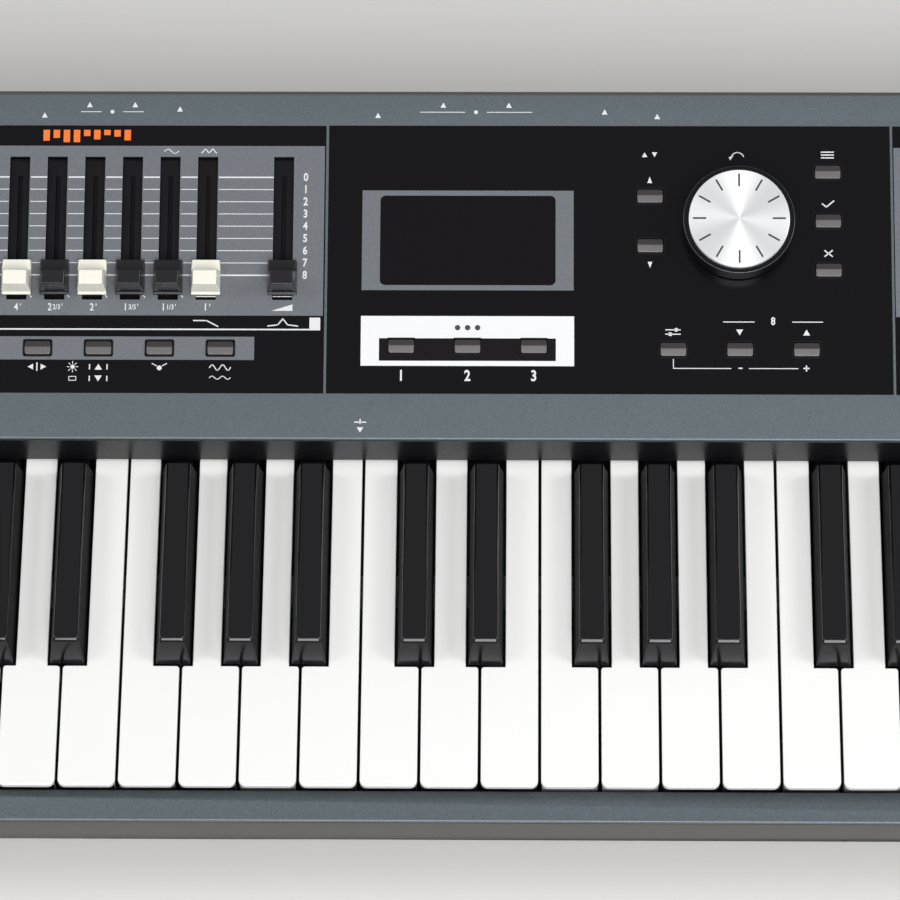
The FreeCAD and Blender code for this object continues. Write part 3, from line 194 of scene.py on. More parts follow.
def noiseOf(tree, size, detail, distortion=0.0):
    # noise over the object's own coordinates
    place = tree.nodes.new("ShaderNodeTexCoord")
    noise = tree.nodes.new("ShaderNodeTexNoise")
    noise.inputs["Detail"].default_value = detail
    noise.inputs["Distortion"].default_value = distortion
    tree.links.new(place.outputs["Object"], noise.inputs["Vector"])
    if isinstance(size, (int, float)):
        noise.inputs["Scale"].default_value = size
    else:
        tree.links.new(size, noise.inputs["Scale"])
    return noise.outputs["Fac"]


def makeGrain():
    # fine moulded grain, as a height
    group, given, result = newGroup("mouldGrain", [("Size", "NodeSocketFloat", 900.0)],
                                    [("Height", "NodeSocketFloat")])
    group.links.new(noiseOf(group, given.outputs["Size"], 3), result.inputs["Height"])
    return group


def makeTone():
    # colour that varies a little, fine speck over slow drift
    group, given, result = newGroup("toneDrift", [("Colour", "NodeSocketColor", (1, 1, 1, 1)),
                                                  ("Speck", "NodeSocketFloat", 0.1),
                                                  ("Drift", "NodeSocketFloat", 0.06),
                                                  ("Size", "NodeSocketFloat", 2500.0)],
                                    [("Colour", "NodeSocketColor")])
    parts = []
    for amount, size in (("Speck", given.outputs["Size"]), ("Drift", 9.0)):
        centred = calc(group, "SUBTRACT", noiseOf(group, size, 2), 0.5)
        parts.append(calc(group, "MULTIPLY_ADD", centred, given.outputs[amount], 1.0))
    tinted = group.nodes.new("ShaderNodeVectorMath")
    tinted.operation = "SCALE"
    group.links.new(given.outputs["Colour"], tinted.inputs[0])
    group.links.new(calc(group, "MULTIPLY", *parts), tinted.inputs["Scale"])
    group.links.new(tinted.outputs[0], result.inputs["Colour"])
    return group


def makeWear():
    # roughness with handling marks
    group, given, result = newGroup("handledGloss", [("Rough", "NodeSocketFloat", 0.4),
                                                     ("Amount", "NodeSocketFloat", 0.1)],
                                    [("Roughness", "NodeSocketFloat")])
    centred = calc(group, "SUBTRACT", noiseOf(group, 60, 6, 0.4), 0.5)
    spread = calc(group, "MULTIPLY_ADD", centred, given.outputs["Amount"], given.outputs["Rough"])
    group.links.new(spread, result.inputs["Roughness"])
    return group


def makeField():
    # 1 inside a rectangle of the deck's top face, for printed areas
    group, given, result = newGroup("printedField", [(label, "NodeSocketFloat", 0.0)
                                                     for label in ("Left", "Right", "Front", "Rear")],
                                    [("Mask", "NodeSocketFloat")])
    place = group.nodes.new("ShaderNodeTexCoord")
    onDeck = group.nodes.new("ShaderNodeMapping")
    onDeck.vector_type = "TEXTURE"
    onDeck.inputs["Location"].default_value = deckStart
    onDeck.inputs["Rotation"].default_value = (deckTurn, 0, 0)
    split = group.nodes.new("ShaderNodeSeparateXYZ")
    group.links.new(place.outputs["Object"], onDeck.inputs["Vector"])
    group.links.new(onDeck.outputs["Vector"], split.inputs["Vector"])
    mask = calc(group, "GREATER_THAN", split.outputs["Z"], -0.03 * mm)
    for axis, limit, test in (("X", "Left", "GREATER_THAN"), ("X", "Right", "LESS_THAN"),
                              ("Y", "Front", "GREATER_THAN"), ("Y", "Rear", "LESS_THAN")):
        mask = calc(group, "MULTIPLY", mask, calc(group, test, split.outputs[axis], given.outputs[limit]))
    group.links.new(mask, result.inputs["Mask"])
    return group


mouldGrain = makeGrain()
toneDrift = makeTone()
handledGloss = makeWear()
printedField = makeField()


def placed(material, group, **values):
    node = material.node_tree.nodes.new("ShaderNodeGroup")
    node.node_tree = group
    for label, value in values.items():
        node.inputs[label].default_value = value
    return node


def makeFinish(name, colour, rough=0.4, metal=0.0, grain=900.0, depth=0.00002, speck=0.08, drift=0.06,
               wear=0.08, size=2500.0, specular=0.5):
    material = bpy.data.materials.new(name)
    material.use_nodes = True
    tree = material.node_tree
    shader = tree.nodes["Principled BSDF"]
    shader.inputs["Metallic"].default_value = metal
    shader.inputs["Specular IOR Level"].default_value = specular
    tone = placed(material, toneDrift, Colour=(*colour, 1), Speck=speck, Drift=drift, Size=size)
    gloss = placed(material, handledGloss, Rough=rough, Amount=wear)
    height = placed(material, mouldGrain, Size=grain)
    bump = tree.nodes.new("ShaderNodeBump")
    bump.inputs["Distance"].default_value = depth
    bump.inputs["Strength"].default_value = 1.0
    tree.links.new(tone.outputs["Colour"], shader.inputs["Base Color"])
    tree.links.new(gloss.outputs["Roughness"], shader.inputs["Roughness"])
    tree.links.new(height.outputs["Height"], bump.inputs["Height"])
    tree.links.new(bump.outputs["Normal"], shader.inputs["Normal"])
    material.diffuse_color = (*colour, 1)
    return material


finishes = {
    "casePaint": dict(colour=(0.135, 0.163, 0.18), rough=0.42, metal=0.45, grain=2600, depth=0.00001, speck=0.8,
                      drift=0.05, size=1700),
    "lowerShell": dict(colour=(0.085, 0.08, 0.073), rough=0.55, grain=1400, depth=0.00006, speck=0.2),
    "slotBlack": dict(colour=(0.006, 0.005, 0.007), rough=0.38, grain=600, depth=0.00001, specular=0.3),
    # near-black for the groove along the top of the front band: a painted shadow in a real groove
    "seamShade": dict(colour=(0.012, 0.012, 0.013), rough=0.7),
    "nameboardGloss": dict(colour=(0.008, 0.008, 0.009), rough=0.27, grain=300, depth=0.000004, speck=0.1),
    "whiteKey": dict(colour=(0.86, 0.86, 0.84), rough=0.24, grain=500, depth=0.000003, speck=0.01, drift=0.015,
                     wear=0.1),
    "blackKey": dict(colour=(0.007, 0.006, 0.008), rough=0.13, grain=1800, depth=0.000006, speck=0.2, wear=0.14),
    "blackKeySide": dict(colour=(0.006, 0.006, 0.007), rough=0.6, grain=2200, depth=0.00002, specular=0.06),
    "whiteCap": dict(colour=(0.86, 0.84, 0.74), rough=0.28, grain=700, depth=0.000005, speck=0.02, drift=0.03),
    "blackCap": dict(colour=(0.014, 0.013, 0.016), rough=0.22, grain=700, depth=0.000006),
    "brownCap": dict(colour=(0.07, 0.022, 0.012), rough=0.26, grain=700, depth=0.000006),
    "knobPlastic": dict(colour=(0.016, 0.016, 0.018), rough=0.34, grain=1500, depth=0.00002),
    "dialRim": dict(colour=(0.005, 0.005, 0.006), rough=0.22, grain=600, depth=0.000004, specular=0.3),
    # grey metal for the rim's outer bevel: a machined chamfer, and a painted highlight line round the rim
    "dialEdge": dict(colour=(0.2, 0.2, 0.2), rough=0.4, metal=0.6, grain=600, depth=0.000004),
    "tickInk": dict(colour=(0.05, 0.05, 0.052), rough=0.5, grain=900, depth=0.000004),
    "smokeButton": dict(colour=(0.12, 0.113, 0.113), rough=0.3, grain=1200, depth=0.000006, speck=0.1),
    # a darker copy of smokeButton: painted shade for the rear half of each button cap
    "smokeButtonRear": dict(colour=(0.045, 0.04, 0.04), rough=0.3, grain=1200, depth=0.000006, speck=0.1),
    "bezelPlastic": dict(colour=(0.005, 0.005, 0.006), rough=0.4, specular=0.3, grain=1500, depth=0.00001),
    "windowBlack": dict(colour=(0.005, 0.0035, 0.005), rough=0.05, grain=80, depth=0.000001, speck=0.05, specular=0.3),
    "displayBlock": dict(colour=(0.05, 0.05, 0.055), rough=0.5),
    "whiteInk": dict(colour=(0.72, 0.73, 0.74), rough=0.5, grain=1800, depth=0.000006, speck=0.04),
    "darkInk": dict(colour=(0.05, 0.05, 0.055), rough=0.5, grain=1800, depth=0.000006),
    "orangeInk": dict(colour=(0.95, 0.19, 0.025), rough=0.45, grain=1800, depth=0.000006, speck=0.04),
    "footRubber": dict(colour=(0.018, 0.018, 0.018), rough=0.8, grain=1100, depth=0.0001, speck=0.3),
    "zincSteel": dict(colour=(0.42, 0.42, 0.44), rough=0.36, metal=1.0, grain=1500, depth=0.00001),
    "rodSteel": dict(colour=(0.6, 0.6, 0.61), rough=0.25, metal=1.0, grain=2200, depth=0.000006),
    "nickel": dict(colour=(0.62, 0.61, 0.59), rough=0.2, metal=1.0, grain=1200, depth=0.000004),
    "boardBlack": dict(colour=(0.007, 0.008, 0.008), rough=0.4, grain=700, depth=0.00003, speck=0.25),
    "boardGreen": dict(colour=(0.02, 0.11, 0.05), rough=0.4, grain=700, depth=0.00003, speck=0.25),
    "contactRubber": dict(colour=(0.42, 0.42, 0.4), rough=0.65),
    "stopFelt": dict(colour=(0.33, 0.03, 0.03), rough=0.95, grain=2400, depth=0.0002, speck=0.5),
    "chassisPlastic": dict(colour=(0.06, 0.06, 0.058), rough=0.5, grain=1200, depth=0.00004),
    "housingPlastic": dict(colour=(0.02, 0.02, 0.021), rough=0.42, grain=1200, depth=0.00003),
}
looks = {name: makeFinish(name, **values) for name, values in finishes.items()}
print("finishes:", len(looks))


# the panels: gloss black with printed fields
panelPrint = {
    "grey": (0.2, 0.215, 0.235),
    "greyMetal": 0.35,
    "white": (0.8, 0.81, 0.81),
    "black": (0.007, 0.006, 0.008),
    "greyFields": [(-300, -76.6, 50.7, 121.6), (-300, -103.9, 32.35, 41.94), (152.6, 456, 50.7, 121.2),
                   (-61.2, 23.8, 61.4, 103.0)],
    "whiteFields": [(-61.3, 24.0, 30.1, 50.7)],
    "cutouts": [(-54.0, 16.7, 32.2, 41.5)],
}


def makePanelFinish():
    material = makeFinish("panelGloss", (0.0035, 0.0028, 0.004), rough=0.16, grain=220, depth=0.000003, speck=0.05,
                          specular=0.3)
    tree = material.node_tree
    shader = tree.nodes["Principled BSDF"]
    colour = shader.inputs["Base Color"].links[0].from_socket
    rough = shader.inputs["Roughness"].links[0].from_socket
    grey = placed(material, toneDrift, Colour=(*panelPrint["grey"], 1), Speck=0.6, Drift=0.05, Size=1700.0)
    metal = 0.0
    for fields, ink, matte in (("greyFields", grey.outputs["Colour"], 0.36),
                               ("whiteFields", panelPrint["white"], 0.45),
                               ("cutouts", panelPrint["black"], 0.2)):
        for left, right, front, rear in panelPrint[fields]:
            field = placed(material, printedField, Left=left * mm, Right=right * mm, Front=front * mm, Rear=rear * mm)
            mix = tree.nodes.new("ShaderNodeMix")
            mix.data_type = "RGBA"
            tree.links.new(field.outputs["Mask"], mix.inputs["Factor"])
            tree.links.new(colour, mix.inputs["A"])
            if isinstance(ink, tuple):
                mix.inputs["B"].default_value = (*ink, 1)
            else:
                tree.links.new(ink, mix.inputs["B"])
            colour = mix.outputs["Result"]
            blend = tree.nodes.new("ShaderNodeMix")
            tree.links.new(field.outputs["Mask"], blend.inputs["Factor"])
            tree.links.new(rough, blend.inputs["A"])
            blend.inputs["B"].default_value = matte
            rough = blend.outputs["Result"]
            if fields == "greyFields":
                metal = calc(tree, "ADD", metal, field.outputs["Mask"])
    tree.links.new(calc(tree, "MULTIPLY", metal, panelPrint["greyMetal"]), shader.inputs["Metallic"])
    tree.links.new(colour, shader.inputs["Base Color"])
    tree.links.new(rough, shader.inputs["Roughness"])
    return material


looks["panelGloss"] = makePanelFinish()


dialSpot = (89.8, 88.2)


def makeSpunMetal():
    # the dial's face: aluminium turned on a lathe, rings about its own centre
    material = makeFinish("spunAluminium", (0.95, 0.95, 0.955), rough=0.4, metal=0.55, grain=900, depth=0.000002,
                          speck=0.02, wear=0.04)
    tree = material.node_tree
    shader = tree.nodes["Principled BSDF"]
    place = tree.nodes.new("ShaderNodeTexCoord")
    middle = tree.nodes.new("ShaderNodeMapping")
    middle.vector_type = "TEXTURE"
    middle.inputs["Location"].default_value = deckPlace @ Vector((dialSpot[0] * mm, dialSpot[1] * mm, 0))
    middle.inputs["Rotation"].default_value = (deckTurn, 0, 0)
    rings = tree.nodes.new("ShaderNodeTexWave")
    rings.wave_type = "RINGS"
    rings.rings_direction = "Z"
    rings.inputs["Scale"].default_value = 420
    rings.inputs["Distortion"].default_value = 0.6
    bump = shader.inputs["Normal"].links[0].from_node
    tree.links.new(place.outputs["Object"], middle.inputs["Vector"])
    tree.links.new(middle.outputs["Vector"], rings.inputs["Vector"])
    tree.links.new(rings.outputs["Fac"], bump.inputs["Height"])
    bump.inputs["Distance"].default_value = 0.000004
    # the grooves run round the centre, so the sheen spreads across them and opens out from it
    along = tree.nodes.new("ShaderNodeVectorMath")
    along.operation = "CROSS_PRODUCT"
    along.inputs[1].default_value = (0, 0, 1)
    tree.links.new(middle.outputs["Vector"], along.inputs[0])
    tree.links.new(along.outputs[0], shader.inputs["Tangent"])
    shader.inputs["Anisotropic"].default_value = 0.8
    shader.inputs["Anisotropic Rotation"].default_value = 0.25
    return material


looks["spunAluminium"] = makeSpunMetal()


# camera, light and floor
camera = {"place": (4.49, -785.67, 1742.93), "tip": 0.4404, "yaw": 0.0378, "roll": -0.0315, "lens": 186.2}


def makeCamera():
    turn = Matrix.Rotation(camera["yaw"], 3, "Z")
    forward = turn @ Vector((0, math.sin(camera["tip"]), -math.cos(camera["tip"])))
    up = turn @ Vector((0, math.cos(camera["tip"]), math.sin(camera["tip"])))
    right = turn @ Vector((1, 0, 0))
    c, s = math.cos(camera["roll"]), math.sin(camera["roll"])
    right, up = c * right + s * up, c * up - s * right
    bpy.ops.object.camera_add()
    made = bpy.context.object
    axes = Matrix((right, up, -forward)).transposed().to_4x4()
    made.matrix_world = Matrix.Translation(Vector(camera["place"]) * mm) @ axes
    made.data.lens = camera["lens"]
    made.data.sensor_width = 36
    made.data.clip_start = 0.01
    made.data.clip_end = 50
    bpy.context.scene.camera = made


studio = {
    "lamps": [
        {"place": (0.2, -1.4, 1.75), "size": 1.5, "power": 39},
        {"place": (1.7, 0.1, 1.5), "size": 0.9, "power": 15},
        {"place": (-1.7, 0.2, 1.5), "size": 0.7, "power": 8},
    ],
    "world": (0.62, 0.63, 0.65),
    "worldPower": 0.47,
    "floor": (0.74, 0.73, 0.71),
}


def makeStudio():
    for lamp in studio["lamps"]:
        bpy.ops.object.light_add(type="AREA", location=lamp["place"])
        made = bpy.context.object
        made.data.shape = "DISK"
        made.data.size = lamp["size"]
        made.data.energy = lamp["power"]
        aim = Vector((0, 0, 0.05)) - Vector(lamp["place"])
        made.rotation_euler = aim.to_track_quat("-Z", "Y").to_euler()
    world = bpy.data.worlds.new("studioWorld")
    world.use_nodes = True
    world.node_tree.nodes["Background"].inputs["Color"].default_value = (*studio["world"], 1)
    world.node_tree.nodes["Background"].inputs["Strength"].default_value = studio["worldPower"]
    bpy.context.scene.world = world
    bpy.ops.object.select_all(action="DESELECT")
    bpy.ops.mesh.primitive_plane_add(size=30)
    floor = bpy.context.object
    floor.name = "studioFloor"
    floor.data.materials.append(makeFinish("paleFloor", studio["floor"], rough=0.8, grain=120, depth=0.0001,
                                           speck=0.02, drift=0.02, size=400.0))
    bpy.context.scene.view_settings.view_transform = "Standard"


makeCamera()
makeStudio()
print("camera and studio ready")


# case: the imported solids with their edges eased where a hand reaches, and the unpainted band in front
caseShape = {"rail": 0.8, "rim": 0.6, "shell": 1.2, "railTop": 50.3, "paintLow": 49.1, "bandTop": 48.6,
             "groove": 0.6, "lip": -149.9, "front": -147.75, "seam": 30.0, "seamLip": -148.04, "seamFront": -145.9,
             "rearEdge": 147.2, "reach": 470.0}


def eased(node, name, body, look, width, shortest=0.0, steps=3, degrees=30, wanted=None, reshape=None):
    thing = cleanCopy(node)
    if reshape:
        reshape(thing)
    edit(thing)

    def chosen(edge):
        longEnough = edge.calc_length() > shortest * mm
        return longEnough and isSharp(edge, degrees) and (wanted is None or wanted(edge))

    if pick("EDGE", chosen):
        roundEdges(width, steps)
    leave()
    return finish(thing, name, body, [look], [node])


def onRim(edge):
    # an edge of the case's outer form, and not of an opening in the deck
    inside = 0
    for vert in edge.verts:
        x, y, z = vert.co / mm
        if abs(x) < caseShape["reach"] and 12 < y < 140:
            inside += 1
        onShell = abs(x) > 503 or y < -147 or y > 145
        onTop = z > 56.5 and y < 8
        onDeck = y > 6 and z > deck["z"] + (y - deck["y"]) * math.tan(deckTurn) - 0.2
        if not (onShell or onTop or onDeck) or z < 28:
            return False
    return inside < 2 and edge.calc_length() > 3 * mm


def onRailTop(edge):
    return all(abs(vert.co.z / mm - caseShape["railTop"]) < 0.1 and vert.co.y / mm < caseShape["front"] + 4
               for vert in edge.verts)


def straightenFront(thing):
    # the front stands upright and a little behind the moulding, so that its low band stays narrow
    for vert in thing.data.vertices:
        x, y, z = vert.co / mm
        if y < caseShape["lip"]:
            vert.co.y = caseShape["front"] * mm
        elif abs(z - caseShape["seam"]) < 0.1 and abs(y - caseShape["seamLip"]) < 0.1:
            vert.co.y = caseShape["seamFront"] * mm


def shapeTopCase():
    thing = cleanCopy("top_case")
    straightenFront(thing)
    thing.data.materials.clear()
    for look in ("casePaint", "lowerShell", "seamShade"):
        thing.data.materials.append(looks[look])
    edit(thing)
    pick("EDGE", lambda edge: isSharp(edge, 10) and onRailTop(edge))
    roundEdges(caseShape["rail"], 4)
    pick("EDGE", lambda edge: isSharp(edge, 30) and onRim(edge) and edge.is_convex)
    roundEdges(caseShape["rim"], 3)

    def onFront(face):
        middle = face.calc_center_median() / mm
        return face.normal.y < -0.95 and middle.y < caseShape["front"] + 0.1

    for height in ("paintLow", "bandTop"):
        pick("FACE", onFront)
        bpy.ops.mesh.bisect(plane_co=(0, 0, caseShape[height] * mm), plane_no=(0, 0, 1))
    low, high = caseShape["bandTop"], caseShape["paintLow"]
    pick("FACE", lambda face: onFront(face) and low < face.calc_center_median().z / mm < high)
    bpy.ops.mesh.extrude_region_move(TRANSFORM_OT_translate={"value": (0, caseShape["groove"] * mm, 0)})
    leave()
    for face in thing.data.polygons:
        x, y, z = face.center / mm
        if y < caseShape["front"] + 3.5 and z < high + 0.01 or y > caseShape["rearEdge"]:
            face.material_index = 1
        # the groove along the top of the band: a real groove, painted near-black as its shadow
        if y < caseShape["front"] + 0.7 and low - 0.01 < z < high + 0.01 and abs(x) < 504:
            face.material_index = 2
    return finish(thing, "topCase", root, [], ["top_case"])


shapeTopCase()
eased("bottom_case", "bottomCase", root, looks["lowerShell"], caseShape["shell"], 200,
      wanted=lambda edge: all(vert.co.z < 8 * mm for vert in edge.verts), reshape=straightenFront)
eased("rubber_feet", "rubberFeet", root, looks["footRubber"], 0.8, steps=2)
print("case ready")

# strip of gloss trim between the keys and the deck
nameboard = {"x": (-388.9, 456.9), "low": (4.5, 55.4), "high": (6.3, 69.4), "thick": 0.35}


def makeNameboard():
    back, up = (high - low for low, high in zip(nameboard["low"], nameboard["high"]))
    lean, tall = math.atan2(back, up), math.hypot(back, up)
    trim = addBox(nameboard["x"], (0, nameboard["thick"]), (0, tall))
    edit(trim)
    pick("EDGE", lambda edge: isSharp(edge) and all(vert.co.y < 0.1 * mm for vert in edge.verts))
    roundEdges(0.15, 2)
    leave()
    y, z = nameboard["low"]
    trim.data.transform(Matrix.Translation((0, y * mm, z * mm)) @ Matrix.Rotation(-lean, 4, "X"))
    finish(trim, "nameboardTrim", root, [looks["nameboardGloss"]])


makeNameboard()


# keys: tops with rounded rims, notch corners and soft black-key edges
keyShape = {"top": 54.0, "notch": -84.3, "notchRound": 1.1, "rim": 0.35, "blackRim": 0.8, "blackNose": 1.6,
            "blackRear": -2.3, "noseForward": -0.9, "rearBack": 1.6}
whiteNames = ["key_c4", "key_d4", "key_e4", "key_f4", "key_g4", "key_a4", "key_b4", "other_white_keys"]
blackNames = ["key_c_sharp4", "key_d_sharp4", "key_f_sharp4", "key_g_sharp4", "key_a_sharp4", "other_black_keys"]


def camel(node):
    first, *rest = node.split("_")
    return first + "".join(word.capitalize() for word in rest)


def shapeWhiteKey(node):
    thing = cleanCopy(node)
    top = keyShape["top"] * mm
    edit(thing)

    def notchCorner(edge):
        low, high = sorted(vert.co.z for vert in edge.verts)
        x, y = edge.verts[0].co.x, edge.verts[0].co.y
        upright = abs(edge.verts[1].co.x - x) + abs(edge.verts[1].co.y - y) < 0.01 * mm
        atNotch = abs(y - keyShape["notch"] * mm) < 0.05 * mm
        return upright and atNotch and high > top - 0.05 * mm and isSharp(edge, 60) and edge.is_convex

    if pick("EDGE", notchCorner):
        roundEdges(keyShape["notchRound"], 3)
    pick("EDGE", lambda edge: all(vert.co.z > top - 0.02 * mm for vert in edge.verts) and isSharp(edge, 50))
    roundEdges(keyShape["rim"], 3)
    leave()
    return finish(thing, camel(node), node, [looks["whiteKey"]], [node], angle=40)


def shapeBlackKey(node):
    thing = cleanCopy(node)
    thing.data.materials.clear()
    thing.data.materials.append(looks["blackKey"])
    thing.data.materials.append(looks["blackKeySide"])
    edit(thing)
    low = keyShape["top"] * mm
    behind = (keyShape["blackRear"] - 0.1) * mm

    def behindCap(face):
        middle = face.calc_center_median()
        return face.normal.y > 0.7 and middle.z > low + 2 * mm and middle.y > (keyShape["blackRear"] - 1) * mm

    pick("FACE", behindCap)
    bpy.ops.transform.translate(value=(0, keyShape["rearBack"] * mm, 0))

    def onCap(edge):
        ends = [vert.co for vert in edge.verts]
        onTop = max(end.z for end in ends) > low + 5 * mm and min(end.z for end in ends) > low - 0.02 * mm
        return onTop and isSharp(edge, 8) and edge.is_convex and min(end.y for end in ends) < behind

    def isNose(edge):
        ends = [vert.co for vert in edge.verts]
        return onCap(edge) and min(end.z for end in ends) > low + 9 * mm and abs(ends[0].y - ends[1].y) < 0.1 * mm

    pick("EDGE", isNose)
    bpy.ops.transform.translate(value=(0, keyShape["noseForward"] * mm, 0))
    roundEdges(keyShape["blackNose"], 5)
    pick("EDGE", lambda edge: onCap(edge) and isSharp(edge, 35))
    roundEdges(keyShape["blackRim"], 4)
    leave()
    for face in thing.data.polygons:
        if abs(face.normal.x) > 0.93:
            face.material_index = 1
    return finish(thing, camel(node), node, [], [node], angle=50)


for node in whiteNames:
    shapeWhiteKey(node)
for node in blackNames:
    shapeBlackKey(node)
print("keys ready:", len(whiteNames) + len(blackNames))


# drawbar caps: a base, a raised crown towards the player and a low shelf behind it
cap = {"half": 5.85, "front": -7.4, "rear": 6.7, "low": 0.8, "plate": 1.7, "ledge": -6.4, "shelf": 3.2,
       "crown": 9.8, "crownFront": -5.2, "crownRear": 0.6, "crownHalf": 4.7, "rise": 2.0, "rest": 66.4,
       "pitch": 15.2, "lastX": -123.7, "levelX": -93.0}
capShades = ("brown", "brown", "white", "white", "black", "white", "black", "black", "white")


def makeCap():
    thing = addBox((-cap["half"], cap["half"]), (cap["front"], cap["rear"]), (cap["low"], cap["plate"]))
    edit(thing)
    for cut in ("ledge", "rise"):
        bpy.ops.mesh.select_all(action="SELECT")
        bpy.ops.mesh.bisect(plane_co=(0, cap[cut] * mm, 0), plane_no=(0, 1, 0))
    pick("FACE", lambda face: face.normal.z > 0.9 and face.calc_center_median().y > cap["ledge"] * mm)
    raiseFaces(cap["shelf"] - cap["plate"])
    pick("FACE", lambda face: face.normal.z > 0.9 and
         cap["ledge"] * mm < face.calc_center_median().y < cap["rise"] * mm)
    raiseFaces(cap["crown"] - cap["shelf"])
    middle = (cap["ledge"] + cap["rise"]) / 2
    narrow = cap["crownHalf"] / cap["half"]
    shorter = (cap["crownRear"] - cap["crownFront"]) / (cap["rise"] - cap["ledge"])
    bpy.ops.transform.resize(value=(narrow, shorter, 1), center_override=(0, middle * mm, 0))
    bpy.ops.transform.translate(value=(0, ((cap["crownFront"] + cap["crownRear"]) / 2 - middle) * mm, 0))
    pick("VERT", lambda vert: vert.co.y > (cap["rear"] - 0.1) * mm and vert.co.z > (cap["shelf"] - 0.1) * mm)
    bpy.ops.transform.resize(value=(0.93, 1, 1), center_override=(0, 0, 0))
    pick("EDGE", lambda edge: isSharp(edge, 20) and max(vert.co.z for vert in edge.verts) > 1.0 * mm)
    roundEdges(0.42, 3, clamp=True)
    leave()
    # lever under the cap
    lever = addBox((-0.5, 0.5), (-2.2, 2.2), (-7, 1.6))
    edit(lever)
    pick("EDGE", lambda edge: isSharp(edge) and all(vert.co.z < 0 for vert in edge.verts))
    roundEdges(0.3, 2)
    leave()
    return joinAll([thing, lever])


def placeCaps():
    model = makeCap()
    spots = [(cap["lastX"] - (8 - index) * cap["pitch"], shade + "Cap", f"harmonic_bar_{index + 1}")
             for index, shade in enumerate(capShades)]
    spots.append((cap["levelX"], "blackCap", "level_slider"))
    for x, look, node in spots:
        thing = layOnDeck(twin(model, Matrix.Translation((x * mm, cap["rest"] * mm, 0))))
        finish(thing, camel(node), node, [looks[look]], [node])
    bpy.data.objects.remove(model)


placeCaps()
print("drawbars ready")


# push buttons, each cap a low ridge with painted shade on its rear half, in a thin dark frame
button = {"half": (5.15, 2.7), "low": -5.6, "top": 0.75, "crown": ((-0.2, 0.4), (0.2, 0.45), (0.6, 0.4)),
          "ridge": 0.2, "corner": 0.7, "frameHalf": (5.9, 3.55), "frameTop": 0.28}
buttonSpots = {
    "organ_buttons": [(-117.4 - 24.4 * i, 37.15) for i in range(4)],
    "mode_buttons": [(-45.1 + 26.5 * i, 38.1) for i in range(3)],
    "edit_buttons": [(54.5, 80.0), (54.5, 100.7)] + [(126.0, 70 + 20.45 * i) for i in range(3)],
    "octave_buttons": [(63.6 + 26.6 * i, 37.05) for i in range(3)],
    "preset_buttons": [(205 + 26.6 * i, 37.05) for i in range(4)],
}


def makeButton():
    halfX, halfS = button["half"]
    thing = addBox((-halfX, halfX), (-halfS, halfS), (button["low"], button["top"]))
    edit(thing)
    pick("EDGE", lambda edge: abs(edge.verts[0].co.z - edge.verts[1].co.z) > 1 * mm)
    roundEdges(button["corner"], 3)
    # the cap rises to a soft ridge across its middle
    top = button["top"] * mm
    for cut, rise in button["crown"]:
        pick("FACE", lambda face: face.normal.z > 0.7)
        bpy.ops.mesh.bisect(plane_co=(0, cut * mm, 0), plane_no=(0, 1, 0))
    for cut, rise in button["crown"]:
        pick("VERT", lambda vert: abs(vert.co.y - cut * mm) < 0.02 * mm and vert.co.z > top - 0.01 * mm)
        bpy.ops.transform.translate(value=(0, 0, rise * mm))
    pick("EDGE", lambda edge: isSharp(edge, 55) and min(vert.co.z for vert in edge.verts) > top - 0.1 * mm)
    roundEdges(0.3, 2)
    leave()
    thing.data.materials.append(looks["smokeButton"])
    thing.data.materials.append(looks["smokeButtonRear"])
    # faces behind the ridge take the darker copy, painted shade on the cap's rear half
    for face in thing.data.polygons:
        face.material_index = 1 if face.center.y > button["ridge"] * mm else 0
    return thing


def makeFrame():
    outerX, outerS = button["frameHalf"]
    innerX, innerS = button["half"][0] + 0.3, button["half"][1] + 0.3
    thing = addBox((-outerX, outerX), (-outerS, outerS), (0.02, button["frameTop"]))
    edit(thing)
    pick("EDGE", lambda edge: abs(edge.verts[0].co.z - edge.verts[1].co.z) > 0.1 * mm)
    roundEdges(0.8, 3)
    pick("FACE", lambda face: abs(face.normal.z) > 0.9)
    bpy.ops.mesh.inset(thickness=(outerX - innerX) * mm, depth=0)
    bpy.ops.mesh.bridge_edge_loops()
    leave()
    return thing


def placeButtons():
    capModel = makeButton()
    frameModel = makeFrame()
    frames = []
    for node, spots in buttonSpots.items():
        caps = repeat(twin(capModel), spots)
        frames += repeat(twin(frameModel), spots)
        finish(layOnDeck(joinAll(caps)), camel(node), node, [], [node])
    bpy.data.objects.remove(capModel)
    bpy.data.objects.remove(frameModel)
    finish(layOnDeck(joinAll(frames)), "buttonFrames", root, [looks["bezelPlastic"]])


placeButtons()
print("buttons ready")


# value dial: black rim with a lighter chamfer band that is partly a painted highlight line, a groove and a spun face
# with twelve ticks
dial = {"radius": 22.3, "low": 1.0, "rimTop": 10.6, "face": 12.0, "faceRadius": 20.2, "gap": 0.25, "groove": 0.8,
        "ticks": 12, "tickFrom": 13.2, "tickTo": 18.6, "tickWide": 0.75}


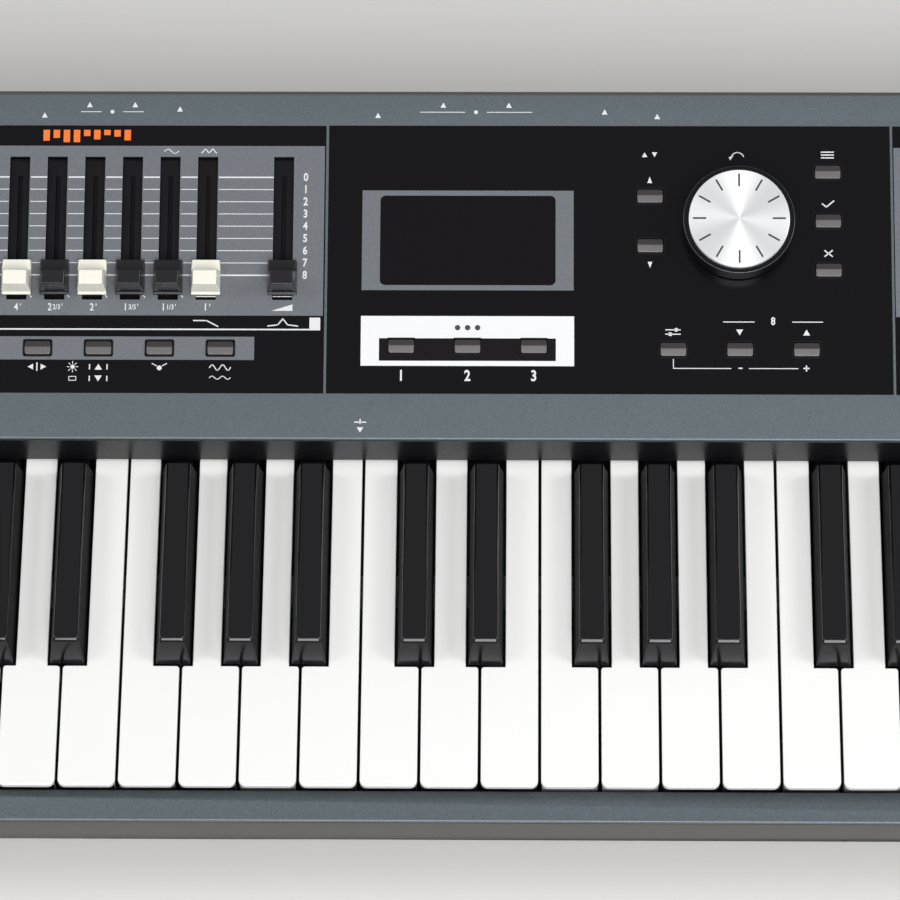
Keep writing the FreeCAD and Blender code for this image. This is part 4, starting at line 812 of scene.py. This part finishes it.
def makeDial():
    body = addDrum(dial["radius"], dial["low"], dial["rimTop"], 160)
    edit(body)
    pick("FACE", lambda face: face.normal.z > 0.9)
    bpy.ops.mesh.inset(thickness=(dial["radius"] - dial["faceRadius"] - dial["gap"]) * mm, depth=0)
    raiseFaces(-dial["groove"])
    bpy.ops.mesh.inset(thickness=dial["gap"] * mm, depth=0)
    raiseFaces(dial["face"] - dial["rimTop"] + dial["groove"])
    rimTop, low = dial["rimTop"] * mm, dial["low"] * mm
    pick("EDGE", lambda edge: isSharp(edge, 60) and min(vert.co.z for vert in edge.verts) > rimTop - 0.05 * mm)
    roundEdges(0.35, 3)
    pick("EDGE", lambda edge: isSharp(edge, 30) and max(vert.co.z for vert in edge.verts) < low + 0.05 * mm)
    roundEdges(0.6, 3)
    leave()
    # the outer rim bevel is a lighter metallic grey: a machined chamfer, and a painted highlight line round the rim
    for face in body.data.polygons:
        onEdge = face.center.xy.length > (dial["radius"] - 0.4) * mm and 0.1 < face.normal.z < 0.9
        face.material_index = 1 if face.center.z > rimTop + 0.1 * mm else 3 if onEdge and face.center.z > 5 * mm else 0
    ticks = []
    for index in range(dial["ticks"]):
        tick = addBox((dial["tickFrom"], dial["tickTo"]), (-dial["tickWide"] / 2, dial["tickWide"] / 2),
                      (dial["face"] - 0.1, dial["face"] + 0.012))
        edit(tick)
        pick("EDGE", lambda edge: abs(edge.verts[0].co.z - edge.verts[1].co.z) > 0.05 * mm)
        roundEdges(0.3, 3)
        leave()
        tick.data.transform(Matrix.Rotation(2 * math.pi * index / dial["ticks"], 4, "Z"))
        ticks.append(tick)
    marks = joinAll(ticks)
    shaft = addDrum(3.0, -5, dial["low"] + 0.5, 48)
    edit(shaft)
    pick("EDGE", lambda edge: isSharp(edge, 60) and max(vert.co.z for vert in edge.verts) < 0)
    roundEdges(0.4, 2)
    leave()
    for look in ("dialRim", "spunAluminium", "tickInk", "dialEdge"):
        body.data.materials.append(looks[look])
    marks.data.materials.append(looks["tickInk"])
    shaft.data.materials.append(looks["rodSteel"])
    whole = joinAll([body, marks, shaft])
    whole.data.transform(Matrix.Translation((dialSpot[0] * mm, dialSpot[1] * mm, 0)))
    layOnDeck(whole)
    finish(whole, "valueDial", "value_dial", [], ["value_dial"], angle=30)


makeDial()

# ribbed knobs with a white pointer
knob = {"radius": 8.0, "height": 15.0, "ribs": 24, "s": 88.2,
        "spots": {"volume_knob": -430, "drive_knob": 215, "reverb_knob": 275}}


def makeKnob():
    body = addDrum(knob["radius"], 1.0, knob["height"], knob["ribs"] * 4)
    edit(body)

    def valley(vert):
        step = round(math.atan2(vert.co.y, vert.co.x) / (2 * math.pi / (knob["ribs"] * 4)))
        return step % 4 == 0 and vert.co.xy.length > 1 * mm

    pick("VERT", valley)
    bpy.ops.transform.resize(value=(0.94, 0.94, 1), center_override=(0, 0, 0))
    pick("FACE", lambda face: face.normal.z > 0.9)
    bpy.ops.mesh.inset(thickness=0.9 * mm, depth=0)
    bpy.ops.transform.translate(value=(0, 0, 0.6 * mm))
    bpy.ops.mesh.inset(thickness=1.2 * mm, depth=0)
    bpy.ops.transform.translate(value=(0, 0, -0.35 * mm))
    pick("VERT", lambda vert: vert.co.z > (knob["height"] - 0.1) * mm)
    bpy.ops.transform.translate(value=(0, 0, -0.6 * mm))
    leave()
    pointer = addBox((-0.45, 0.45), (2.4, 6.6), (knob["height"] - 0.7, knob["height"] - 0.25))
    edit(pointer)
    pick("EDGE", lambda edge: abs(edge.verts[0].co.z - edge.verts[1].co.z) > 0.1 * mm)
    roundEdges(0.3, 2)
    leave()
    body.data.materials.append(looks["knobPlastic"])
    pointer.data.materials.append(looks["whiteInk"])
    return joinAll([body, pointer])


def placeKnobs():
    model = makeKnob()
    for node, x in knob["spots"].items():
        thing = layOnDeck(twin(model, Matrix.Translation((x * mm, knob["s"] * mm, 0))))
        finish(thing, camel(node), node, [], [node])
    bpy.data.objects.remove(model)


placeKnobs()
print("dial and knobs ready")


# printed marks: lines, plain numbers and plain signs, a few hundredths of a millimetre proud
ink = {"thick": 0.05, "numberSize": 4.3, "discSides": 20}


def sheetOf(points):
    # a flat closed outline in millimetres on the deck, made a thin plate
    bpy.ops.object.select_all(action="DESELECT")
    bpy.ops.mesh.primitive_circle_add(vertices=len(points), radius=1, fill_type="NGON")
    thing = bpy.context.object
    for vert, (x, s) in zip(thing.data.vertices, points):
        vert.co = (x * mm, s * mm, 0)
    edit(thing)
    bpy.ops.mesh.select_all(action="SELECT")
    raiseFaces(ink["thick"])
    bpy.ops.mesh.select_all(action="SELECT")
    bpy.ops.mesh.normals_make_consistent(inside=False)
    leave()
    return thing


def bar(x0, x1, s0, s1):
    return sheetOf([(x0, s0), (x1, s0), (x1, s1), (x0, s1)])


def level(x0, x1, s, width=0.35):
    return bar(x0, x1, s - width / 2, s + width / 2)


def upright(x, s0, s1, width=0.35):
    return bar(x - width / 2, x + width / 2, s0, s1)


def arrow(x, s, wide, tall):
    # tall is negative for one that points at the player
    return sheetOf([(x - wide / 2, s - tall / 2), (x + wide / 2, s - tall / 2), (x, s + tall / 2)])


def disc(x, s, radius):
    turns = [2 * math.pi * i / ink["discSides"] for i in range(ink["discSides"])]
    return sheetOf([(x + radius * math.cos(turn), s + radius * math.sin(turn)) for turn in turns])


def path(points, width=0.4):
    # a printed line through points
    return [joinLine(points[i], points[i + 1], width) for i in range(len(points) - 1)]


def joinLine(start, end, width):
    along = Vector((end[0] - start[0], end[1] - start[1]))
    side = Vector((-along.y, along.x)).normalized() * width / 2
    reach = along.normalized() * width * 0.35
    a = (start[0] - reach.x, start[1] - reach.y)
    b = (end[0] + reach.x, end[1] + reach.y)
    return sheetOf([(a[0] - side.x, a[1] - side.y), (b[0] - side.x, b[1] - side.y),
                    (b[0] + side.x, b[1] + side.y), (a[0] + side.x, a[1] + side.y)])


def number(x, s, words, size=None, heavy=0.12):
    bpy.ops.object.select_all(action="DESELECT")
    bpy.ops.object.text_add()
    made = bpy.context.object
    made.data.body = words
    made.data.size = (size or ink["numberSize"]) * mm
    made.data.align_x = "CENTER"
    made.data.align_y = "CENTER"
    made.data.extrude = ink["thick"] / 2 * mm
    made.data.offset = heavy * mm
    made.data.space_character = 1.05
    made.data.resolution_u = 4
    bpy.ops.object.convert(target="MESH")
    made = bpy.context.object
    made.data.transform(Matrix.Translation((x * mm, s * mm, ink["thick"] / 2 * mm)) @ Matrix.Scale(0.8, 4, (1, 0, 0)))
    return made


scale = {"topS": 108.4, "step": 5.12, "numbersX": -84.1, "farLeft": -262.0, "slotLeft": 4.15, "slotRight": 4.5}


def scaleMarks():
    marks = []
    edges = []
    for index in range(9):
        x = cap["lastX"] - index * cap["pitch"]
        edges.append((x - scale["slotLeft"], x + scale["slotRight"]))
    level0 = cap["levelX"] - scale["slotLeft"]
    for line in range(9):
        s = scale["topS"] - scale["step"] * line
        width = 0.6 if line in (0, 8) else 0.32
        marks.append(level(edges[0][1], level0, s, width))
        for index in range(8):
            marks.append(level(edges[index + 1][1], edges[index][0], s, width))
        marks.append(level(scale["farLeft"], edges[8][0], s, width))
        marks.append(number(scale["numbersX"], s, str(line), 4.6))
    footage = [("16", ""), ("5", "1/3"), ("8", ""), ("4", ""), ("2", "2/3"), ("2", ""), ("1", "3/5"), ("1", "1/3"),
               ("1", "")]
    for index, (whole, part) in enumerate(footage):
        x = cap["lastX"] - (8 - index) * cap["pitch"]
        if part:
            marks.append(number(x - 1.7, 54.0, whole, 4.2, 0.06))
            marks.append(number(x + 1.0, 54.1, part, 2.9, 0.05))
            marks.append(upright(x + 3.2, 54.6, 55.6, 0.3))
        else:
            marks.append(number(x, 54.0, whole, 4.2, 0.06))
            marks.append(upright(x + (2.6 if len(whole) > 1 else 1.7), 54.6, 55.6, 0.3))
        # small corner tick under each cap, and a line under the last
        if index < 8:
            marks.append(joinLine((x + 5.3, 59.0), (x + 6.0, 58.2), 0.4))
        else:
            marks.append(level(x - 4.0, x + 4.0, 58.6, 0.45))
    marks.append(level(cap["levelX"] - 3.8, cap["levelX"] + 3.8, 58.6, 0.3))
    # wedge sign for level
    marks.append(sheetOf([(cap["levelX"] - 4.2, 52.7), (cap["levelX"] + 4.2, 52.7), (cap["levelX"] + 4.2, 55.4)]))
    wave = [(-141.4 + 0.47 * i, 119.3 + 0.9 * math.sin(2 * math.pi * i / 12)) for i in range(13)]
    marks += path(wave, 0.4)
    marks += path([(-126.4, 118.6), (-124.9, 120.4), (-123.4, 118.6), (-121.9, 120.4), (-120.4, 118.6)], 0.4)
    return marks


def lowerLeftMarks():
    marks = [level(-464, -77.6, 44.95, 0.6), bar(-81.9, -77.6, 45.2, 49.9)]
    # slope sign over the last bar and peak sign over the level slider
    marks += path([(-128.4, 48.6), (-123.2, 48.6), (-118.6, 46.2)], 0.5)
    marks += path([(-98.6, 46.4), (-94.6, 46.9), (-92.6, 49.4), (-90.6, 46.9), (-86.6, 46.4)], 0.5)
    # split: two arrows from a line
    marks.append(upright(-190.7, 27.6, 31.2, 0.5))
    marks += [sheetOf([(-192.2, 28.2), (-192.2, 30.6), (-194.4, 29.4)]),
              sheetOf([(-189.2, 28.2), (-187.0, 29.4), (-189.2, 30.6)])]
    # lamp on and lamp off signs, with up and down arrows
    marks.append(disc(-176.4, 29.4, 0.85))
    for index in range(8):
        turn = math.pi / 4 * index
        marks.append(joinLine((-176.4 + 1.3 * math.cos(turn), 29.4 + 1.3 * math.sin(turn)),
                              (-176.4 + 2.2 * math.cos(turn), 29.4 + 2.2 * math.sin(turn)), 0.3))
    marks += path([(-177.8, 23.8), (-175.0, 23.8), (-175.0, 25.4), (-177.8, 25.4), (-177.8, 23.8)], 0.3)
    marks += [arrow(-166.1, 29.4, 3.0, 2.4), arrow(-166.1, 24.6, 3.0, -2.4)]
    marks += [upright(-169.6, 28.3, 30.5, 0.5), upright(-162.6, 28.3, 30.5, 0.5)]
    marks += [upright(-169.6, 23.5, 25.7, 0.5), upright(-162.6, 23.5, 25.7, 0.5)]
    # a struck dot and a wave
    marks += [disc(-141.7, 29.0, 1.0), joinLine((-144.6, 30.8), (-142.9, 29.9), 0.4),
              joinLine((-138.8, 30.8), (-140.5, 29.9), 0.4)]
    marks += path([(-121.6 + 0.7 * i, 29.2 + 1.2 * math.sin(2 * math.pi * i / 6)) for i in range(13)], 0.45)
    marks += path([(-121.6 + 0.7 * i, 25.0 + 0.7 * math.sin(2 * math.pi * i / 6)) for i in range(13)], 0.35)
    return marks


def centerMarks():
    marks = [arrow(54.4, 107.6, 1.9, 2.6), arrow(54.4, 72.1, 1.9, -2.6)]
    # up and down pair over the cursor keys, turning arrow over the dial
    marks += [arrow(52.4, 118.2, 2.2, 2.0), arrow(56.4, 118.2, 2.2, -2.0)]
    marks += path([(89.8 + 2.6 * math.cos(math.radians(a)), 116.6 + 2.6 * math.sin(math.radians(a)))
                   for a in range(20, 161, 20)], 0.45)
    marks += [sheetOf([(86.2, 117.2), (88.2, 117.9), (86.9, 115.9)])]
    # list, tick and cross
    marks += [level(123.4, 128.6, 119.4, 0.5), level(123.4, 128.6, 118.2, 0.5), level(123.4, 128.6, 117.0, 0.5)]
    marks += path([(123.8, 97.7), (125.3, 96.4), (128.3, 98.9)], 0.55)
    marks += path([(124.5, 75.8), (127.5, 78.2)], 0.55) + path([(124.5, 78.2), (127.5, 75.8)], 0.55)
    # shift sign, down, up, and the bracket with minus and plus
    marks += path([(60.6, 43.4), (66.4, 43.4)], 0.45) + path([(60.6, 45.2), (66.4, 45.2)], 0.45)
    marks += [disc(62.4, 43.4, 0.8), disc(64.8, 45.2, 0.8)]
    marks += [arrow(90.1, 44.2, 2.8, -2.4), arrow(116.8, 44.2, 2.8, 2.4)]
    marks += [level(83.5, 96.1, 48.5, 0.4), level(111.1, 123.4, 48.5, 0.4), number(103.5, 48.7, "8", 4.4)]
    marks += [upright(63.6, 29.3, 33.2, 0.35), level(63.4, 86.7, 29.3, 0.35), level(93.7, 113.4, 29.3, 0.35)]
    marks += [level(89.5, 91.1, 29.4, 0.55), level(115.4, 117.8, 29.4, 0.55), upright(116.6, 28.2, 30.6, 0.55)]
    # plain numbers for the three modes
    marks += [number(-45.1 + 26.5 * i, 25.9, str(i + 1), 6.2, 0.16) for i in range(3)]
    return marks


def rightMarks():
    marks = [number(205 + 26.6 * i, 29.4, str(i + 1), 4.8) for i in range(4)]
    marks.append(level(156, 464, 44.95, 0.6))
    return marks


def knobMarks():
    marks = []
    for x in knob["spots"].values():
        for index in range(11):
            turn = math.radians(240 - 30 * index)
            width = 0.5 if index in (0, 5, 10) else 0.3
            marks.append(joinLine((x + 9.8 * math.cos(turn), knob["s"] + 9.8 * math.sin(turn)),
                                  (x + 11.8 * math.cos(turn), knob["s"] + 11.8 * math.sin(turn)), width))
        marks += [number(x - 8.2, knob["s"] - 12.2, "0", 4.0), number(x + 8.2, knob["s"] - 12.2, "10", 4.0)]
    return marks


def rearMarks():
    # one pointer per socket, with the two joining lines
    marks = []
    for x, s in ((-190.3, 134.6), (-135.5, 137.2), (-55.3, 134.6), (36.3, 136.2), (57.5, 134.3)):
        marks.append(arrow(x, s, 2.4, 2.2))
    for x in (-172.1, -153.7, -28.9, -2.4):
        marks.append(arrow(x, 139.0, 2.4, 2.2))
    for left, right in ((-175.6, -150.2), (-38.4, 7.0)):
        middle = (left + right) / 2
        marks += [level(left, middle - 4.4, 136.0, 0.3), level(middle + 4.4, right, 136.0, 0.3)]
        marks.append(disc(middle, 136.0, 0.8))
    return marks


def splitMark():
    return [arrow(-61.2, 3.7, 2.6, -2.2), level(-63.6, -58.8, 6.9, 0.5), upright(-61.2, 6.2, 8.2, 0.5)]


def makeMarks():
    white = scaleMarks() + lowerLeftMarks() + centerMarks() + rightMarks() + knobMarks() + rearMarks() + splitMark()
    finish(layOnDeck(joinAll(white)), "whiteMarks", root, [looks["whiteInk"]])
    print("white marks joined:", len(white))
    dark = [disc(-22.6, 45.9, 1.1), disc(-18.6, 45.9, 1.1), disc(-14.6, 45.9, 1.1)]
    finish(layOnDeck(joinAll(dark)), "darkMarks", root, [looks["darkInk"]])
    # nine bars of different length stand in the place of the section's title
    heights = (4.6, 3.4, 5.2, 5.2, 2.6, 4.0, 2.2, 2.8, 4.4)
    orange = [bar(-190.6 + 4.1 * i, -188.0 + 4.1 * i, 128.3 - tall, 128.3) for i, tall in enumerate(heights)]
    finish(layOnDeck(joinAll(orange)), "titleBars", root, [looks["orangeInk"]])


makeMarks()
print("marks ready")


# rear sockets: nickel rings round the phone jacks and metal shells in the round sockets
rear = {"y": 149.9, "jackZ": 42.3, "dinZ": 45.6, "jacks": (-190.3, -172.1, -153.7, -135.5, 36.3, 57.5),
        "dins": (-55.3, -28.9, -2.4)}


def makeRing(outer, inner, thick, proud):
    thing = addDrum(outer, -thick, proud, 48)
    edit(thing)
    pick("FACE", lambda face: abs(face.normal.z) > 0.9)
    bpy.ops.mesh.inset(thickness=(outer - inner) * mm, depth=0)
    bpy.ops.mesh.bridge_edge_loops()
    pick("EDGE", lambda edge: isSharp(edge, 50) and min(vert.co.z for vert in edge.verts) > (proud - 0.01) * mm)
    roundEdges(min(0.25, (outer - inner) / 4), 2)
    leave()
    thing.data.transform(Matrix.Rotation(math.radians(-90), 4, "X"))
    return thing


def placeRings():
    for name, xs, z, outer, inner in (("jackRings", rear["jacks"], rear["jackZ"], 5.4, 3.7),
                                      ("socketShells", rear["dins"], rear["dinZ"], 7.55, 7.15)):
        model = makeRing(outer, inner, 0.2 if name == "jackRings" else 6.0, 0.25)
        rings = [twin(model, Matrix.Translation((x * mm, rear["y"] * mm, z * mm))) for x in xs]
        bpy.data.objects.remove(model)
        finish(joinAll(rings), name, root, [looks["nickel"]])


placeRings()

# remaining solids: eased where they show, and a finish for every one
eased("bender_lever", "benderLever", "bender_lever", looks["knobPlastic"], 0.7, 2.0)
eased("bender_cradle", "benderCradle", "bender_cradle", looks["housingPlastic"], 0.4, 2.0)
eased("power_rocker", "powerRocker", "power_rocker", looks["knobPlastic"], 0.5, 4.0)
eased("power_switch_housing", "powerSwitchHousing", root, looks["housingPlastic"], 0.4, 9.0)

plainFinish = {
    "left_control_panel": "panelGloss", "center_control_panel": "panelGloss", "right_control_panel": "panelGloss",
    "display_window": "windowBlack", "display_module": "displayBlock", "case_screws": "zincSteel",
    "keybed_chassis": "chassisPlastic", "key_hinge_rod": "rodSteel", "key_contact_board": "boardGreen",
    "key_contact_rubbers": "contactRubber", "key_stop_felts": "stopFelt", "slide_potentiometers": "slotBlack",
    "rotary_sensors": "housingPlastic", "tact_switches": "housingPlastic", "panel_boards": "boardBlack",
    "main_board": "boardGreen", "phone_jacks": "housingPlastic", "din_sockets": "housingPlastic",
    "dc_inlet": "housingPlastic", "bender_bracket": "chassisPlastic",
}
for node, thing in nodes.items():
    look = looks[plainFinish.get(node, "housingPlastic")]
    thing.data.materials.clear()
    thing.data.materials.append(look)
print("finishes on", len(nodes), "packed solids")
